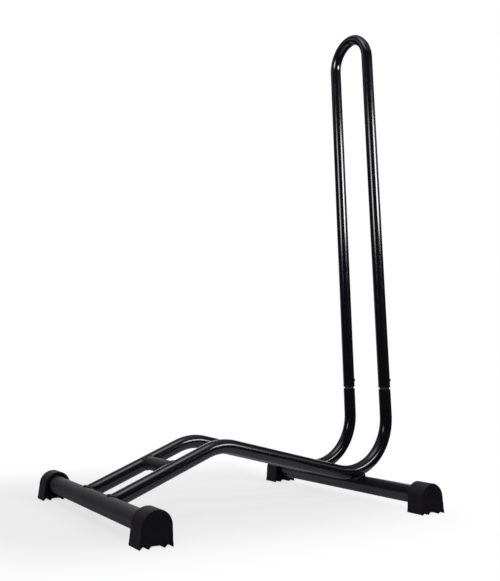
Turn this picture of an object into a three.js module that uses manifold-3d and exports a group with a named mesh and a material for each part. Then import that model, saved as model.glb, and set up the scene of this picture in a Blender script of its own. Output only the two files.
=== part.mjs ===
// Floor bike rack for one wheel. Two cross tubes stand on ridged foot caps, two bent rails lie side by side between them
// and turn up at the back, and an inverted-U hoop plugs onto the upturned rail ends and is held by two snap buttons.
// Millimetres. +Z is up, +X runs from the front cross tube to the upright hoop, +Y is the rack's left side.
import * as THREE from 'three';
import { mergeVertices } from 'three/addons/utils/BufferGeometryUtils.js';
import ManifoldModule from 'manifold-3d';

const manifoldApi = await ManifoldModule();
manifoldApi.setup();
const { Manifold, Mesh: SolidMesh } = manifoldApi;

// ---- driving sizes ------------------------------------------------------------------------------------------------
const SEAT_GAP = 0.3;          // clearance left between two pieces that touch
const WELD_GAP = 0.15;         // clearance between a weld bead and the tubes that it joins

const BAR_OD = 25;             // cross tubes
const BAR_WALL = 1.5;
const BAR_SPAN = 424;          // front to rear, axis to axis
const RACK_WIDTH = 405;        // over the outer faces of the foot caps

const RAIL_OD = 20;            // rails and hoop
const RAIL_WALL = 1.5;
const RAIL_SPACING = 93.4;     // rail axis to rail axis
const RAIL_LEDGE = 0.65;       // how far the rail's top line stays inside the front tube's top line
const HUMP_X = 165;            // corner point of the hump, from the front tube's axis
const HUMP_RISE = 70.4;        // corner point of the hump, above the cross tubes' axes
const HUMP_RADIUS = 72;
const LOW_BEND_BACK = 58.5;    // corner point of the low bend, behind the rear tube's axis
const LOW_BEND_RADIUS = 83.5;
const LEG_LEAN = 1.28;         // degrees, the hoop leans towards the wheel

const JOINT_HEIGHT = 169;      // middle of the open joint between rail and hoop, above the floor
const JOINT_OPEN = 2.5;        // width of that joint
const HOOP_STRAIGHT = 603;     // joint to the start of the hoop's arch

const SLEEVE_WALL = 1.2;       // plug sleeve inside each joint
const SLEEVE_DOWN = 45;        // below the joint
const SLEEVE_UP = 48;          // above the joint

const BUTTON_OD = 5;           // snap button
const BUTTON_UP = 12.8;        // its axis above the joint
const BUTTON_STANDOUT = 4.5;   // from the hoop's skin to the top of the dome
const BUTTON_DOME = 2.1;       // height of the domed end
const BUTTON_RUN = 0.25;       // clearance round its shank
const COLLAR_OD = 6.4;         // collar that keeps the button in
const COLLAR_THICK = 0.9;

const SPRING_WIDTH = 4.6;      // folded leaf spring behind the button
const SPRING_THICK = 0.6;
const SPRING_DROP = 32;        // from the button's axis down to the fold

const BRACE_X = 93;            // short brace between the rails, from the front tube's axis
const BRACE_UNDER = 1;         // how much thinner than the rails it is
const BRACE_WALL = 1.5;

const CAP_LENGTH = 31.3;       // foot caps
const CAP_FOOT_WIDTH = 42;
const CAP_SHOULDER_WIDTH = 39;
const CAP_TOP_ABOVE_AXIS = 19;
const AXIS_HEIGHT = 21.7;      // cross tube axes above the floor
const CAP_END_WALL = 3;
const CAP_DISH_DEPTH = 0.8;    // shallow round dish in the outer face
const CAP_DISH_OD = 23;
const RIDGE_DEPTH = 2.8;
const RIDGE_FLANK = 2.9;       // width of one sloping side
const RIDGE_TIP = 1;           // flat tip that meets the floor
const RIDGE_INNER_AT = 9.8;    // middle of the inner ridges, from the cap's centre

const WELD_FRONT_R = 1.9;      // bead radii
const WELD_BRACE_R = 1.6;
const WELD_REAR_R = 2.4;
const WELD_REAR_REACH = 7;     // bead ring round the rail's seat on the rear tube

const SIDES = 28;              // facets round a tube
const ARC_STEP = 7;            // degrees of bend for each facet along a tube

// ---- derived frame ------------------------------------------------------------------------------------------------
const deg = Math.PI / 180;
const barR = BAR_OD / 2;
const railR = RAIL_OD / 2;
const boreR = railR - RAIL_WALL;
const sleeveR = boreR - SEAT_GAP;
const sleeveBoreR = sleeveR - SLEEVE_WALL;
const braceR = (RAIL_OD - BRACE_UNDER) / 2;
const railY = RAIL_SPACING / 2;
const lean = LEG_LEAN * deg;
const legUp = new THREE.Vector2(-Math.sin(lean), Math.cos(lean));
const legOut = new THREE.Vector2(Math.cos(lean), Math.sin(lean));

// The rail's centre line is drawn in the (x, z) plane, from the front tube's axis and the floor.
const frontAxis = new THREE.Vector2(0, AXIS_HEIGHT);
const rearAxis = new THREE.Vector2(BAR_SPAN, AXIS_HEIGHT);
const hump = new THREE.Vector2(HUMP_X, AXIS_HEIGHT + HUMP_RISE);

function frontSlope() {
  const rise = Math.atan2(HUMP_RISE, HUMP_X);
  const offset = barR - railR - RAIL_LEDGE;
  const angle = rise - Math.asin(offset / Math.hypot(HUMP_X, HUMP_RISE));
  return { angle, offset };
}
const slope = frontSlope();
const slopeDir = new THREE.Vector2(Math.cos(slope.angle), Math.sin(slope.angle));
const slopeUp = new THREE.Vector2(-slopeDir.y, slopeDir.x);
const railStart = frontAxis.clone().addScaledVector(slopeUp, slope.offset);

// A path with rounded corners: points with their tangents, and each corner's arc centre.
function roundedPath(corners, radii) {
  const points = [{ p: corners[0].clone(), t: corners[1].clone().sub(corners[0]).normalize() }];
  const arcs = [];
  for (let i = 1; i < corners.length - 1; i++) {
    const into = corners[i].clone().sub(corners[i - 1]).normalize();
    const out = corners[i + 1].clone().sub(corners[i]).normalize();
    const turn = Math.atan2(into.cross(out), into.dot(out));
    const reach = radii[i - 1] * Math.tan(Math.abs(turn) / 2);
    const start = corners[i].clone().addScaledVector(into, -reach);
    const side = Math.sign(turn);
    const centre = start.clone().add(new THREE.Vector2(-into.y, into.x).multiplyScalar(side * radii[i - 1]));
    arcs.push({ centre, radius: radii[i - 1] });
    const steps = Math.ceil(Math.abs(turn) / (ARC_STEP * deg));
    for (let k = 0; k <= steps; k++) {
      const a = (turn * k) / steps;
      const t = new THREE.Vector2(into.x * Math.cos(a) - into.y * Math.sin(a), into.x * Math.sin(a) + into.y * Math.cos(a));
      const n = new THREE.Vector2(-t.y, t.x).multiplyScalar(-side * radii[i - 1]);
      points.push({ p: centre.clone().add(n), t });
    }
  }
  const last = corners[corners.length - 1];
  points.push({ p: last.clone(), t: last.clone().sub(corners[corners.length - 2]).normalize() });
  return { points, arcs };
}

function railCentreLine(cornerHeight) {
  const corner = new THREE.Vector2(BAR_SPAN + LOW_BEND_BACK, cornerHeight);
  const toJoint = (JOINT_HEIGHT - cornerHeight) / legUp.y;
  const joint = corner.clone().addScaledVector(legUp, toJoint);
  const end = joint.clone().addScaledVector(legUp, -JOINT_OPEN / 2);
  return { ...roundedPath([railStart, hump, corner, end], [HUMP_RADIUS, LOW_BEND_RADIUS]), joint };
}

function segmentDistance(a, b, q) {
  const d = b.clone().sub(a);
  const k = THREE.MathUtils.clamp(q.clone().sub(a).dot(d) / d.lengthSq(), 0, 1);
  const foot = a.clone().addScaledVector(d, k);
  return { distance: foot.distanceTo(q), foot, dir: d.normalize() };
}

function nearestOnRail(line, q) {
  let best = { distance: Infinity };
  for (let i = 1; i < line.points.length; i++) {
    const hit = segmentDistance(line.points[i - 1].p, line.points[i].p, q);
    if (hit.distance < best.distance) best = hit;
  }
  return best;
}

// The low bend's corner height follows from the rail resting on the rear cross tube.
function seatedRail() {
  const wanted = barR + railR + SEAT_GAP;
  let low = -AXIS_HEIGHT * 2, high = AXIS_HEIGHT * 4;
  for (let i = 0; i < 60; i++) {
    const mid = (low + high) / 2;
    if (nearestOnRail(railCentreLine(mid), rearAxis).distance < wanted) low = mid;
    else high = mid;
  }
  return railCentreLine((low + high) / 2);
}
const rail = seatedRail();
const onLeg = (up) => rail.joint.clone().addScaledVector(legUp, up);

// The origin is under the middle of the rack: halfway between the front caps and the back of the low bends.
const backEdge = Math.max(rail.arcs[1].centre.x + LOW_BEND_RADIUS + railR, BAR_SPAN + CAP_FOOT_WIDTH / 2,
  onLeg(BUTTON_UP).x + railR + BUTTON_STANDOUT);
const originX = (backEdge - CAP_FOOT_WIDTH / 2) / 2;
const at = (v, y) => new THREE.Vector3(v.x - originX, y, v.y);

// ---- solids -------------------------------------------------------------------------------------------------------
function indexed(positions, triangles) {
  const g = new THREE.BufferGeometry();
  g.setAttribute('position', new THREE.Float32BufferAttribute(positions, 3));
  g.setIndex(triangles);
  return g;
}

// Sweeps a round section along stations {p, n, b}: centre and the section's two unit directions. A bore makes it a tube.
function sweep(stations, radius, bore = 0, sides = SIDES, closed = false) {
  const positions = [];
  const triangles = [];
  const ring = (r) => {
    const first = positions.length / 3;
    for (const { p, n, b } of stations) {
      for (let k = 0; k < sides; k++) {
        const a = (2 * Math.PI * k) / sides;
        const q = p.clone().addScaledVector(n, r * Math.cos(a)).addScaledVector(b, r * Math.sin(a));
        positions.push(q.x, q.y, q.z);
      }
    }
    return first;
  };
  const count = stations.length;
  const skin = (first, outward) => {
    const rows = closed ? count : count - 1;
    for (let i = 0; i < rows; i++) {
      for (let k = 0; k < sides; k++) {
        const a = first + i * sides + k, b = first + i * sides + ((k + 1) % sides);
        const c = first + ((i + 1) % count) * sides + k, d = first + ((i + 1) % count) * sides + ((k + 1) % sides);
        if (outward) triangles.push(a, b, c, b, d, c);
        else triangles.push(a, c, b, b, c, d);
      }
    }
  };
  const outer = ring(radius);
  skin(outer, true);
  if (closed) return indexed(positions, triangles);
  const lastRow = (count - 1) * sides;
  if (bore > 0) {
    const inner = ring(bore);
    skin(inner, false);
    for (let k = 0; k < sides; k++) {
      const m = (k + 1) % sides;
      triangles.push(outer + k, inner + k, outer + m, outer + m, inner + k, inner + m);
      triangles.push(outer + lastRow + k, outer + lastRow + m, inner + lastRow + k,
        outer + lastRow + m, inner + lastRow + m, inner + lastRow + k);
    }
  } else {
    for (let k = 1; k < sides - 1; k++) {
      triangles.push(outer, outer + k + 1, outer + k);
      triangles.push(outer + lastRow, outer + lastRow + k, outer + lastRow + k + 1);
    }
  }
  return indexed(positions, triangles);
}

// Stations for a path in the rail's plane at a given y.
const ACROSS = new THREE.Vector3(0, 1, 0);
function planarStations(points, y) {
  return points.map(({ p, t }) => {
    const tangent = new THREE.Vector3(t.x, 0, t.y);
    return { p: at(p, y), n: tangent.clone().cross(ACROSS).negate(), b: ACROSS };
  });
}

// Stations along a straight line between two points; the section starts from the direction n.
function straightStations(from, to, n) {
  const t = to.clone().sub(from).normalize();
  const b = t.clone().cross(n).normalize();
  return [{ p: from, n, b }, { p: to, n, b }];
}

// Stations round a closed loop of points, with the section turned by the loop's own tangent and a guide direction.
function loopStations(points, guide) {
  return points.map((p, i) => {
    const before = points[(i + points.length - 1) % points.length];
    const after = points[(i + 1) % points.length];
    const t = after.clone().sub(before).normalize();
    const n = guide(p, i).addScaledVector(t, -guide(p, i).dot(t)).normalize();
    return { p, n, b: t.clone().cross(n).normalize() };
  });
}

function solid(geometry) {
  const bare = geometry.clone();
  bare.deleteAttribute('normal');
  bare.deleteAttribute('uv');
  const g = mergeVertices(bare, 1e-5);
  const mesh = new SolidMesh({
    numProp: 3,
    vertProperties: new Float32Array(g.attributes.position.array),
    triVerts: new Uint32Array(g.index.array),
  });
  mesh.merge();
  return new Manifold(mesh);
}
function shape(body) {
  const m = body.getMesh();
  return indexed(Array.from(m.vertProperties), Array.from(m.triVerts));
}
const cut = (geometry, ...cutters) => shape(cutters.reduce((body, c) => body.subtract(solid(c)), solid(geometry)));

const group = new THREE.Group();
group.name = 'floor_bike_rack';
function add(name, geometry, colour, roughness, metalness) {
  const g = geometry.index ? geometry.toNonIndexed() : geometry;
  g.computeVertexNormals();
  const mesh = new THREE.Mesh(g, new THREE.MeshStandardMaterial({ color: colour, roughness, metalness }));
  mesh.name = name;
  group.add(mesh);
}
const GLOSS_BLACK = [0x121116, 0.22, 0.0];
const SATIN_GREY = [0x46464a, 0.5, 0.1];
const MATT_BLACK = [0x242326, 0.8, 0.0];
const BRIGHT_STEEL = [0xb9bcc0, 0.3, 1.0];
const BRASS = [0x8a6a48, 0.35, 1.0];
const SPRING_STEEL = [0x6d7075, 0.4, 1.0];

const SIDE = { left: 1, right: -1 };
const IN_PLANE_X = new THREE.Vector3(1, 0, 0);

// Cross tubes end just short of the caps' end walls.
const barHalf = RACK_WIDTH / 2 - CAP_END_WALL - CAP_DISH_DEPTH - SEAT_GAP;
const barStations = (axis, half) => straightStations(at(axis, -half), at(axis, half), IN_PLANE_X);
const barTube = (axis) => sweep(barStations(axis, barHalf), barR, barR - BAR_WALL);
const barCutter = (axis, more) => sweep(barStations(axis, RACK_WIDTH), barR + more);
add('front_crossbar', barTube(frontAxis), ...SATIN_GREY);
add('rear_crossbar', barTube(rearAxis), ...SATIN_GREY);

// Rails: coped onto the front tube, seated over the rear tube.
const railStations = (y) => planarStations(rail.points, y);
const railCutter = (y, more) => sweep(railStations(y), railR + more);
for (const [side, s] of Object.entries(SIDE)) {
  add(`rail_${side}`, cut(sweep(railStations(s * railY), railR, boreR), barCutter(frontAxis, SEAT_GAP)), ...GLOSS_BLACK);
}

// Brace: a short tube with both ends coped to the rails' inner sides.
const braceAlong = (BRACE_X - railStart.x) / slopeDir.x;
const braceAxis = railStart.clone().addScaledVector(slopeDir, braceAlong);
const braceUpDir = new THREE.Vector3(slopeUp.x, 0, slopeUp.y);
const braceStations = () => straightStations(at(braceAxis, -railY), at(braceAxis, railY), braceUpDir);
add('brace_tube', cut(sweep(braceStations(), braceR, braceR - BRACE_WALL),
  railCutter(railY, SEAT_GAP), railCutter(-railY, SEAT_GAP)), ...SATIN_GREY);

// Plug sleeves, snap buttons and their springs, along each leg. The buttons face backwards.
const legUp3 = new THREE.Vector3(legUp.x, 0, legUp.y);
const legOut3 = new THREE.Vector3(legOut.x, 0, legOut.y);
const legPoint = (up, out, y) => at(onLeg(up).addScaledVector(legOut, out), y);
const legStations = (from, to, y) => straightStations(legPoint(from, 0, y), legPoint(to, 0, y), legOut3);
const buttonHole = (y) => sweep(straightStations(legPoint(BUTTON_UP, 0, y), legPoint(BUTTON_UP, RAIL_OD, y), legUp3),
  BUTTON_OD / 2 + BUTTON_RUN, 0, 24);

const collarTop = Math.sqrt(sleeveBoreR ** 2 - (COLLAR_OD / 2) ** 2) - SEAT_GAP;
const collarBack = collarTop - COLLAR_THICK;
function buttonProfile() {
  const r = BUTTON_OD / 2, tip = railR + BUTTON_STANDOUT, domeStart = tip - BUTTON_DOME;
  const points = [[0, collarBack], [COLLAR_OD / 2, collarBack], [COLLAR_OD / 2, collarTop], [r, collarTop], [r, domeStart]];
  for (let k = 1; k < 6; k++) {
    const a = (k / 6) * (Math.PI / 2);
    points.push([r * Math.cos(a), domeStart + BUTTON_DOME * Math.sin(a)]);
  }
  points.push([0, tip]);
  return points.map(([x, y]) => new THREE.Vector2(x, y));
}
function placedOnLeg(geometry, up, y) {
  // local +Y points out of the leg, local +X along the leg
  const m = new THREE.Matrix4().makeBasis(legUp3, legOut3, legUp3.clone().cross(legOut3));
  m.setPosition(legPoint(up, 0, y));
  geometry.applyMatrix4(m);
  return geometry;
}

// The leaf spring is a strip: up the front wall of the sleeve, round the fold and up to the button's back.
function springStrip() {
  const wallFace = Math.sqrt(sleeveBoreR ** 2 - (SPRING_WIDTH / 2) ** 2) - SEAT_GAP;
  const back = -wallFace + SPRING_THICK / 2;
  const front = collarBack - SEAT_GAP - SPRING_THICK / 2;
  const foldR = 1.6;
  const line = [new THREE.Vector2(COLLAR_OD / 2 + 1.5, back), new THREE.Vector2(-SPRING_DROP, back)];
  for (let k = 1; k <= 8; k++) {
    const a = (k / 8) * Math.PI * 0.9;
    line.push(new THREE.Vector2(-SPRING_DROP - foldR * Math.sin(a), back + foldR * (1 - Math.cos(a))));
  }
  line.push(new THREE.Vector2(-COLLAR_OD / 2, front), new THREE.Vector2(COLLAR_OD / 2, front));
  const left = [], right = [];
  line.forEach((p, i) => {
    const a = line[Math.max(i - 1, 0)], b = line[Math.min(i + 1, line.length - 1)];
    const t1 = (i ? p.clone().sub(a) : b.clone().sub(p)).normalize();
    const t2 = (i < line.length - 1 ? b.clone().sub(p) : t1.clone()).normalize();
    const m = t1.clone().add(t2).normalize();
    const n = new THREE.Vector2(-m.y, m.x).multiplyScalar(SPRING_THICK / 2 / Math.max(m.dot(t1), 0.5));
    left.push(p.clone().add(n));
    right.push(p.clone().sub(n));
  });
  const outline = new THREE.Shape([...left, ...right.reverse()]);
  const g = new THREE.ExtrudeGeometry(outline, { depth: SPRING_WIDTH, bevelEnabled: false, steps: 1 });
  g.translate(0, 0, -SPRING_WIDTH / 2);
  return g;
}

for (const [side, s] of Object.entries(SIDE)) {
  const y = s * railY;
  add(`plug_sleeve_${side}`, cut(sweep(legStations(-SLEEVE_DOWN, SLEEVE_UP, y), sleeveR, sleeveBoreR), buttonHole(y)),
    ...BRIGHT_STEEL);
  add(`snap_button_${side}`, placedOnLeg(new THREE.LatheGeometry(buttonProfile(), 24), BUTTON_UP, y), ...BRASS);
  add(`leaf_spring_${side}`, placedOnLeg(springStrip(), BUTTON_UP, y), ...SPRING_STEEL);
}

// Hoop: up one leg, over the arch, down the other.
function hoopStations() {
  const stations = [{ p: legPoint(JOINT_OPEN / 2, 0, railY), n: ACROSS.clone(), b: legOut3 }];
  const steps = Math.ceil(180 / ARC_STEP);
  for (let k = 0; k <= steps; k++) {
    const a = (Math.PI * k) / steps;
    const radial = ACROSS.clone().multiplyScalar(Math.cos(a)).addScaledVector(legUp3, Math.sin(a));
    stations.push({ p: legPoint(HOOP_STRAIGHT, 0, 0).addScaledVector(radial, railY), n: radial, b: legOut3 });
  }
  stations.push({ p: legPoint(JOINT_OPEN / 2, 0, -railY), n: ACROSS.clone().negate(), b: legOut3 });
  return stations.map(({ p, n, b }) => ({ p, n, b: b.clone().negate() }));
}
add('hoop', cut(sweep(hoopStations(), railR, boreR), buttonHole(railY), buttonHole(-railY)), ...GLOSS_BLACK);

// Foot caps: an arched block with four ridges underneath, a blind bore for the tube and a shallow dish outside.
function capOutline() {
  const foot = CAP_FOOT_WIDTH / 2, shoulder = CAP_SHOULDER_WIDTH / 2;
  const right = [
    [RIDGE_INNER_AT - RIDGE_TIP / 2 - RIDGE_FLANK, RIDGE_DEPTH], [RIDGE_INNER_AT - RIDGE_TIP / 2, 0],
    [RIDGE_INNER_AT + RIDGE_TIP / 2, 0], [RIDGE_INNER_AT + RIDGE_TIP / 2 + RIDGE_FLANK, RIDGE_DEPTH],
    [foot - RIDGE_TIP - RIDGE_FLANK, RIDGE_DEPTH], [foot - RIDGE_TIP, 0], [foot, 0],
  ];
  const arch = [];
  const steps = 20;
  for (let k = 0; k <= steps; k++) {
    const a = (Math.PI * k) / steps;
    arch.push([shoulder * Math.cos(a), AXIS_HEIGHT + CAP_TOP_ABOVE_AXIS * Math.sin(a)]);
  }
  const left = right.map(([x, z]) => [-x, z]).reverse();
  return new THREE.Shape([...right, ...arch, ...left].map(([x, z]) => new THREE.Vector2(x, z)));
}
function footCap(axis, s) {
  const outer = s * (RACK_WIDTH / 2), inner = s * (RACK_WIDTH / 2 - CAP_LENGTH);
  const block = new THREE.ExtrudeGeometry(capOutline(), { depth: CAP_LENGTH, bevelEnabled: false, steps: 1 });
  block.rotateX(Math.PI / 2);
  block.translate(axis.x - originX, Math.max(outer, inner), 0);
  const bore = sweep(straightStations(at(axis, inner - s), at(axis, s * (barHalf + SEAT_GAP)), IN_PLANE_X), barR + SEAT_GAP);
  const dish = sweep(straightStations(at(axis, outer - s * CAP_DISH_DEPTH), at(axis, outer + s), IN_PLANE_X), CAP_DISH_OD / 2);
  return cut(block, bore, dish);
}
for (const [end, axis] of [['front', frontAxis], ['rear', rearAxis]]) {
  for (const [side, s] of Object.entries(SIDE)) add(`foot_cap_${end}_${side}`, footCap(axis, s), ...MATT_BLACK);
}

// Weld beads: a round bead laid along the line where two tubes meet, cut back to both tubes.
const BEAD_STEPS = 30;
const BEAD_SIDES = 10;
function bead(points, radius, guide, ...cutters) {
  return cut(sweep(loopStations(points, guide), radius, 0, BEAD_SIDES, true), ...cutters);
}
const loop = (fn) => Array.from({ length: BEAD_STEPS }, (_, i) => fn((2 * Math.PI * i) / BEAD_STEPS));
const rearSeat = nearestOnRail(rail, rearAxis);
const seatUp = rearSeat.foot.clone().sub(rearAxis).normalize();
const seatAlong = new THREE.Vector2(seatUp.y, -seatUp.x);
for (const [side, s] of Object.entries(SIDE)) {
  const y = s * railY;
  const front = loop((a) => {
    const high = slope.offset + railR * Math.cos(a);
    const along = Math.sqrt((barR + SEAT_GAP) ** 2 - high ** 2);
    const p = frontAxis.clone().addScaledVector(slopeUp, high).addScaledVector(slopeDir, along);
    return at(p, y + railR * Math.sin(a));
  });
  const slopeDir3 = new THREE.Vector3(slopeDir.x, 0, slopeDir.y);
  add(`weld_front_${side}`, bead(front, WELD_FRONT_R, () => slopeDir3.clone(),
    railCutter(y, WELD_GAP), barCutter(frontAxis, WELD_GAP)), ...GLOSS_BLACK);

  const braceEnd = loop((a) => {
    const high = braceR * Math.cos(a);
    const inset = Math.sqrt((railR + SEAT_GAP) ** 2 - high ** 2);
    const p = braceAxis.clone().addScaledVector(slopeUp, high).addScaledVector(slopeDir, braceR * Math.sin(a));
    return at(p, s * (railY - inset));
  });
  add(`weld_brace_${side}`, bead(braceEnd, WELD_BRACE_R, () => ACROSS.clone(),
    railCutter(y, WELD_GAP), sweep(braceStations(), braceR + WELD_GAP)), ...GLOSS_BLACK);

  const seat = loop((a) => {
    const dx = WELD_REAR_REACH * Math.cos(a), dy = WELD_REAR_REACH * Math.sin(a);
    const under = Math.sqrt(barR ** 2 - dx ** 2);
    const over = rearSeat.distance - Math.sqrt(railR ** 2 - dy ** 2);
    const p = rearAxis.clone().addScaledVector(seatAlong, dx).addScaledVector(seatUp, (under + over) / 2);
    return at(p, y + dy);
  });
  add(`weld_rear_${side}`, bead(seat, WELD_REAR_R, () => new THREE.Vector3(seatUp.x, 0, seatUp.y),
    railCutter(y, WELD_GAP), barCutter(rearAxis, WELD_GAP)), ...GLOSS_BLACK);
}

export default group;
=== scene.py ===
import math

import bpy
import numpy as np
from bpy.props import FloatProperty, FloatVectorProperty, PointerProperty
from mathutils import Matrix, Vector


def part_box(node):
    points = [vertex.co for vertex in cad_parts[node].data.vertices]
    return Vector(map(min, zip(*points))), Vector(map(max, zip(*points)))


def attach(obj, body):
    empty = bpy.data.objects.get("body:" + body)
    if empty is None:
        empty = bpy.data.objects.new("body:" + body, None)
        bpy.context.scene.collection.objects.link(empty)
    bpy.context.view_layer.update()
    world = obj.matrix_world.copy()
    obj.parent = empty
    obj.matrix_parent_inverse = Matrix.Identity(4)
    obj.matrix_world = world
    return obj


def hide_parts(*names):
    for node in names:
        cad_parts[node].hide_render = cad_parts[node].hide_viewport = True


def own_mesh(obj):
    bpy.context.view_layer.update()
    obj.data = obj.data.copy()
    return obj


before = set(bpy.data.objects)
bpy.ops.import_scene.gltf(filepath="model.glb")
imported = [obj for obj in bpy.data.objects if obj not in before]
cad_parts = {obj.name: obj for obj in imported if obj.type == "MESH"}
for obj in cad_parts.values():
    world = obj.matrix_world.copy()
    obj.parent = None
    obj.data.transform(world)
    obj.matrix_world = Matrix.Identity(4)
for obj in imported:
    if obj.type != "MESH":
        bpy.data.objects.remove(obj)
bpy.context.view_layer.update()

bl_info = {
    "name": "Floor bike rack",
    "version": (1, 0, 0),
    "blender": (4, 5, 0),
    "location": "3D View > Sidebar > Bike rack",
    "description": "Tubes, foot caps, welds and plug joints of a floor bike rack, built round its packed frame",
    "category": "Object",
}

SEAT_GAP = 0.0003  # clearance between pieces that touch, as in the frame
SIDES = {"left": 1.0, "right": -1.0}
X, Y, _ = np.eye(3)
LIP_STEPS = 4  # faces along each quarter round of a lip
HOLE_CELLS = 5  # from the middle of a hole to the edge of the block of faces left out for it
STEP, BEND_STEP = 0.012, math.radians(2.5)  # spacing of the rings of a bent tube, on straight runs and in bends


def node_box(name):
    """Lowest and highest corner of a frame node, and its middle, in metres."""
    low, high = (np.array(corner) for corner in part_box(name))
    return low, high, (low + high) / 2


BAR_LOW, BAR_HIGH, FRONT_AXIS = node_box("front_crossbar")
REAR_AXIS = node_box("rear_crossbar")[2]
RAIL_LOW, RAIL_HIGH, RAIL_MIDDLE = node_box("rail_left")
CAP_HIGH = node_box("foot_cap_front_left")[1]


# ---- settings -------------------------------------------------------------------------------------------------------
def length(name, description, default):
    """A size in metres."""
    return FloatProperty(
        name=name, description=description, default=default, min=0.0, precision=5, unit="LENGTH", subtype="DISTANCE"
    )


def colour(name, description, default):
    """A colour of a finish."""
    return FloatVectorProperty(
        name=name, description=description, default=default, size=3, min=0.0, max=1.0, subtype="COLOR"
    )


def share(name, description, default):
    """A strength from none to full."""
    return FloatProperty(name=name, description=description, default=default, min=0.0, max=1.0, subtype="FACTOR")


class RackTubes(bpy.types.PropertyGroup):
    """Sizes of the cross tubes, rails, brace and hoop."""

    bar_diameter: length("Cross tube", "Outside diameter of both cross tubes", float(BAR_HIGH[2] - BAR_LOW[2]))
    bar_half: length("Half cross tube", "From the middle of a cross tube to its end", float(BAR_HIGH[1]))
    rail_diameter: length("Rail tube", "Outside diameter of the rails and the hoop", float(RAIL_HIGH[1] - RAIL_LOW[1]))
    rail_offset: length("Rail offset", "From the middle plane to a rail's axis", float(RAIL_MIDDLE[1]))
    wall: length("Tube wall", "Wall of all tubes", 0.0015)
    lip: length("Lip rounding", "Rounding of the cut ends of the tubes", 0.00035)
    ledge: length("Front ledge", "How far a rail's top line stays inside the front tube's top line", 0.00065)
    hump_x: length("Hump", "Corner point of the hump behind the front tube", 0.165)
    hump_rise: length("Hump rise", "Corner point of the hump above the front tube", 0.0704)
    hump_radius: length("Hump radius", "Bend radius of the hump", 0.072)
    low_bend_back: length("Low bend", "Corner point of the low bend behind the rear tube", 0.0585)
    low_bend_radius: length("Low bend radius", "Bend radius where the rails turn up", 0.0835)
    leg_lean: FloatProperty(
        name="Leg lean", description="Lean of the upright legs towards the wheel", default=math.radians(1.28),
        subtype="ANGLE",
    )
    joint_height: length("Joint height", "Middle of the open joint above the floor", 0.169)
    joint_open: length("Joint opening", "Width of the open joint between rail and hoop", 0.0025)
    hoop_straight: length("Hoop legs", "From the joint to the start of the arch", 0.603)
    arch_flattening: length("Arch flattening", "How far bending has flattened the outside of the arch", 0.0020)
    brace_x: length("Brace", "Axis of the brace behind the front tube, measured level", 0.093)
    brace_under: length("Brace undersize", "How much thinner than the rails the brace is", 0.001)


class RackCaps(bpy.types.PropertyGroup):
    """Sizes of the four foot caps."""

    half_width: length("Half width", "From the middle plane to the outer face of a cap", float(CAP_HIGH[1]))
    length: length("Length", "Length of a cap along its tube", 0.0313)
    foot_width: length("Foot width", "Width at the floor", 0.042)
    shoulder_width: length("Shoulder width", "Width at the height of the tube's axis", 0.039)
    top_above_axis: length("Crown", "Top of the arch above the tube's axis", 0.019)
    ridge_depth: length("Ridge depth", "Depth of the ridges under the cap", 0.0028)
    ridge_flank: length("Ridge flank", "Width of one sloping side of a ridge", 0.0029)
    ridge_tip: length("Ridge tip", "Flat tip of a ridge", 0.001)
    ridge_inner_at: length("Inner ridges", "Inner ridges from the middle of the cap", 0.0098)
    edge_rounding: length("Edge rounding", "Rounding of the edge round each face", 0.0011)
    mouth_diameter: length("Mouth", "Recess round the tube in the inner face", 0.0315)
    mouth_depth: length("Mouth depth", "Depth of that recess", 0.0022)
    dish_diameter: length("Dish", "Shallow round dish in the outer face", 0.0255)
    dish_depth: length("Dish depth", "Depth of the dish", 0.0008)
    end_wall: length("End wall", "Wall between the dish and the bore", 0.003)


class RackJoint(bpy.types.PropertyGroup):
    """Sizes of the plug sleeves, snap buttons and leaf springs."""

    sleeve_wall: length("Sleeve wall", "Wall of a plug sleeve", 0.0012)
    sleeve_down: length("Sleeve below", "Sleeve below the joint", 0.045)
    sleeve_up: length("Sleeve above", "Sleeve above the joint", 0.048)
    button_diameter: length("Button", "Diameter of a snap button", 0.005)
    button_up: length("Button height", "Button axis above the joint", 0.0128)
    button_standout: length("Button stand-out", "From the hoop's skin to the top of the dome", 0.0045)
    button_dome: length("Button dome", "Height of the domed end", 0.0021)
    button_run: length("Button clearance", "Clearance round the button's shank", 0.00025)
    collar_diameter: length("Collar", "Collar that keeps the button in", 0.0064)
    collar_thick: length("Collar thickness", "Thickness of the collar", 0.0009)
    spring_width: length("Spring width", "Width of the folded leaf spring", 0.0046)
    spring_thick: length("Spring thickness", "Thickness of the spring strip", 0.0006)
    spring_drop: length("Spring length", "From the button's axis down to the fold", 0.032)


class RackWelds(bpy.types.PropertyGroup):
    """Sizes of the weld beads."""

    front_radius: length("Front bead", "Bead where a rail meets the front tube", 0.0019)
    brace_radius: length("Brace bead", "Bead where the brace meets a rail", 0.0016)
    rear_radius: length("Rear bead", "Bead where a rail rests on the rear tube", 0.0024)
    rear_reach: length("Rear reach", "Radius of the bead ring on the rear tube", 0.007)
    ripple_pitch: length("Ripple pitch", "Spacing of the ripples along a bead", 0.0021)
    ripple: share("Ripple", "Height of the ripples as a share of the bead's radius", 0.16)


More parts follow.
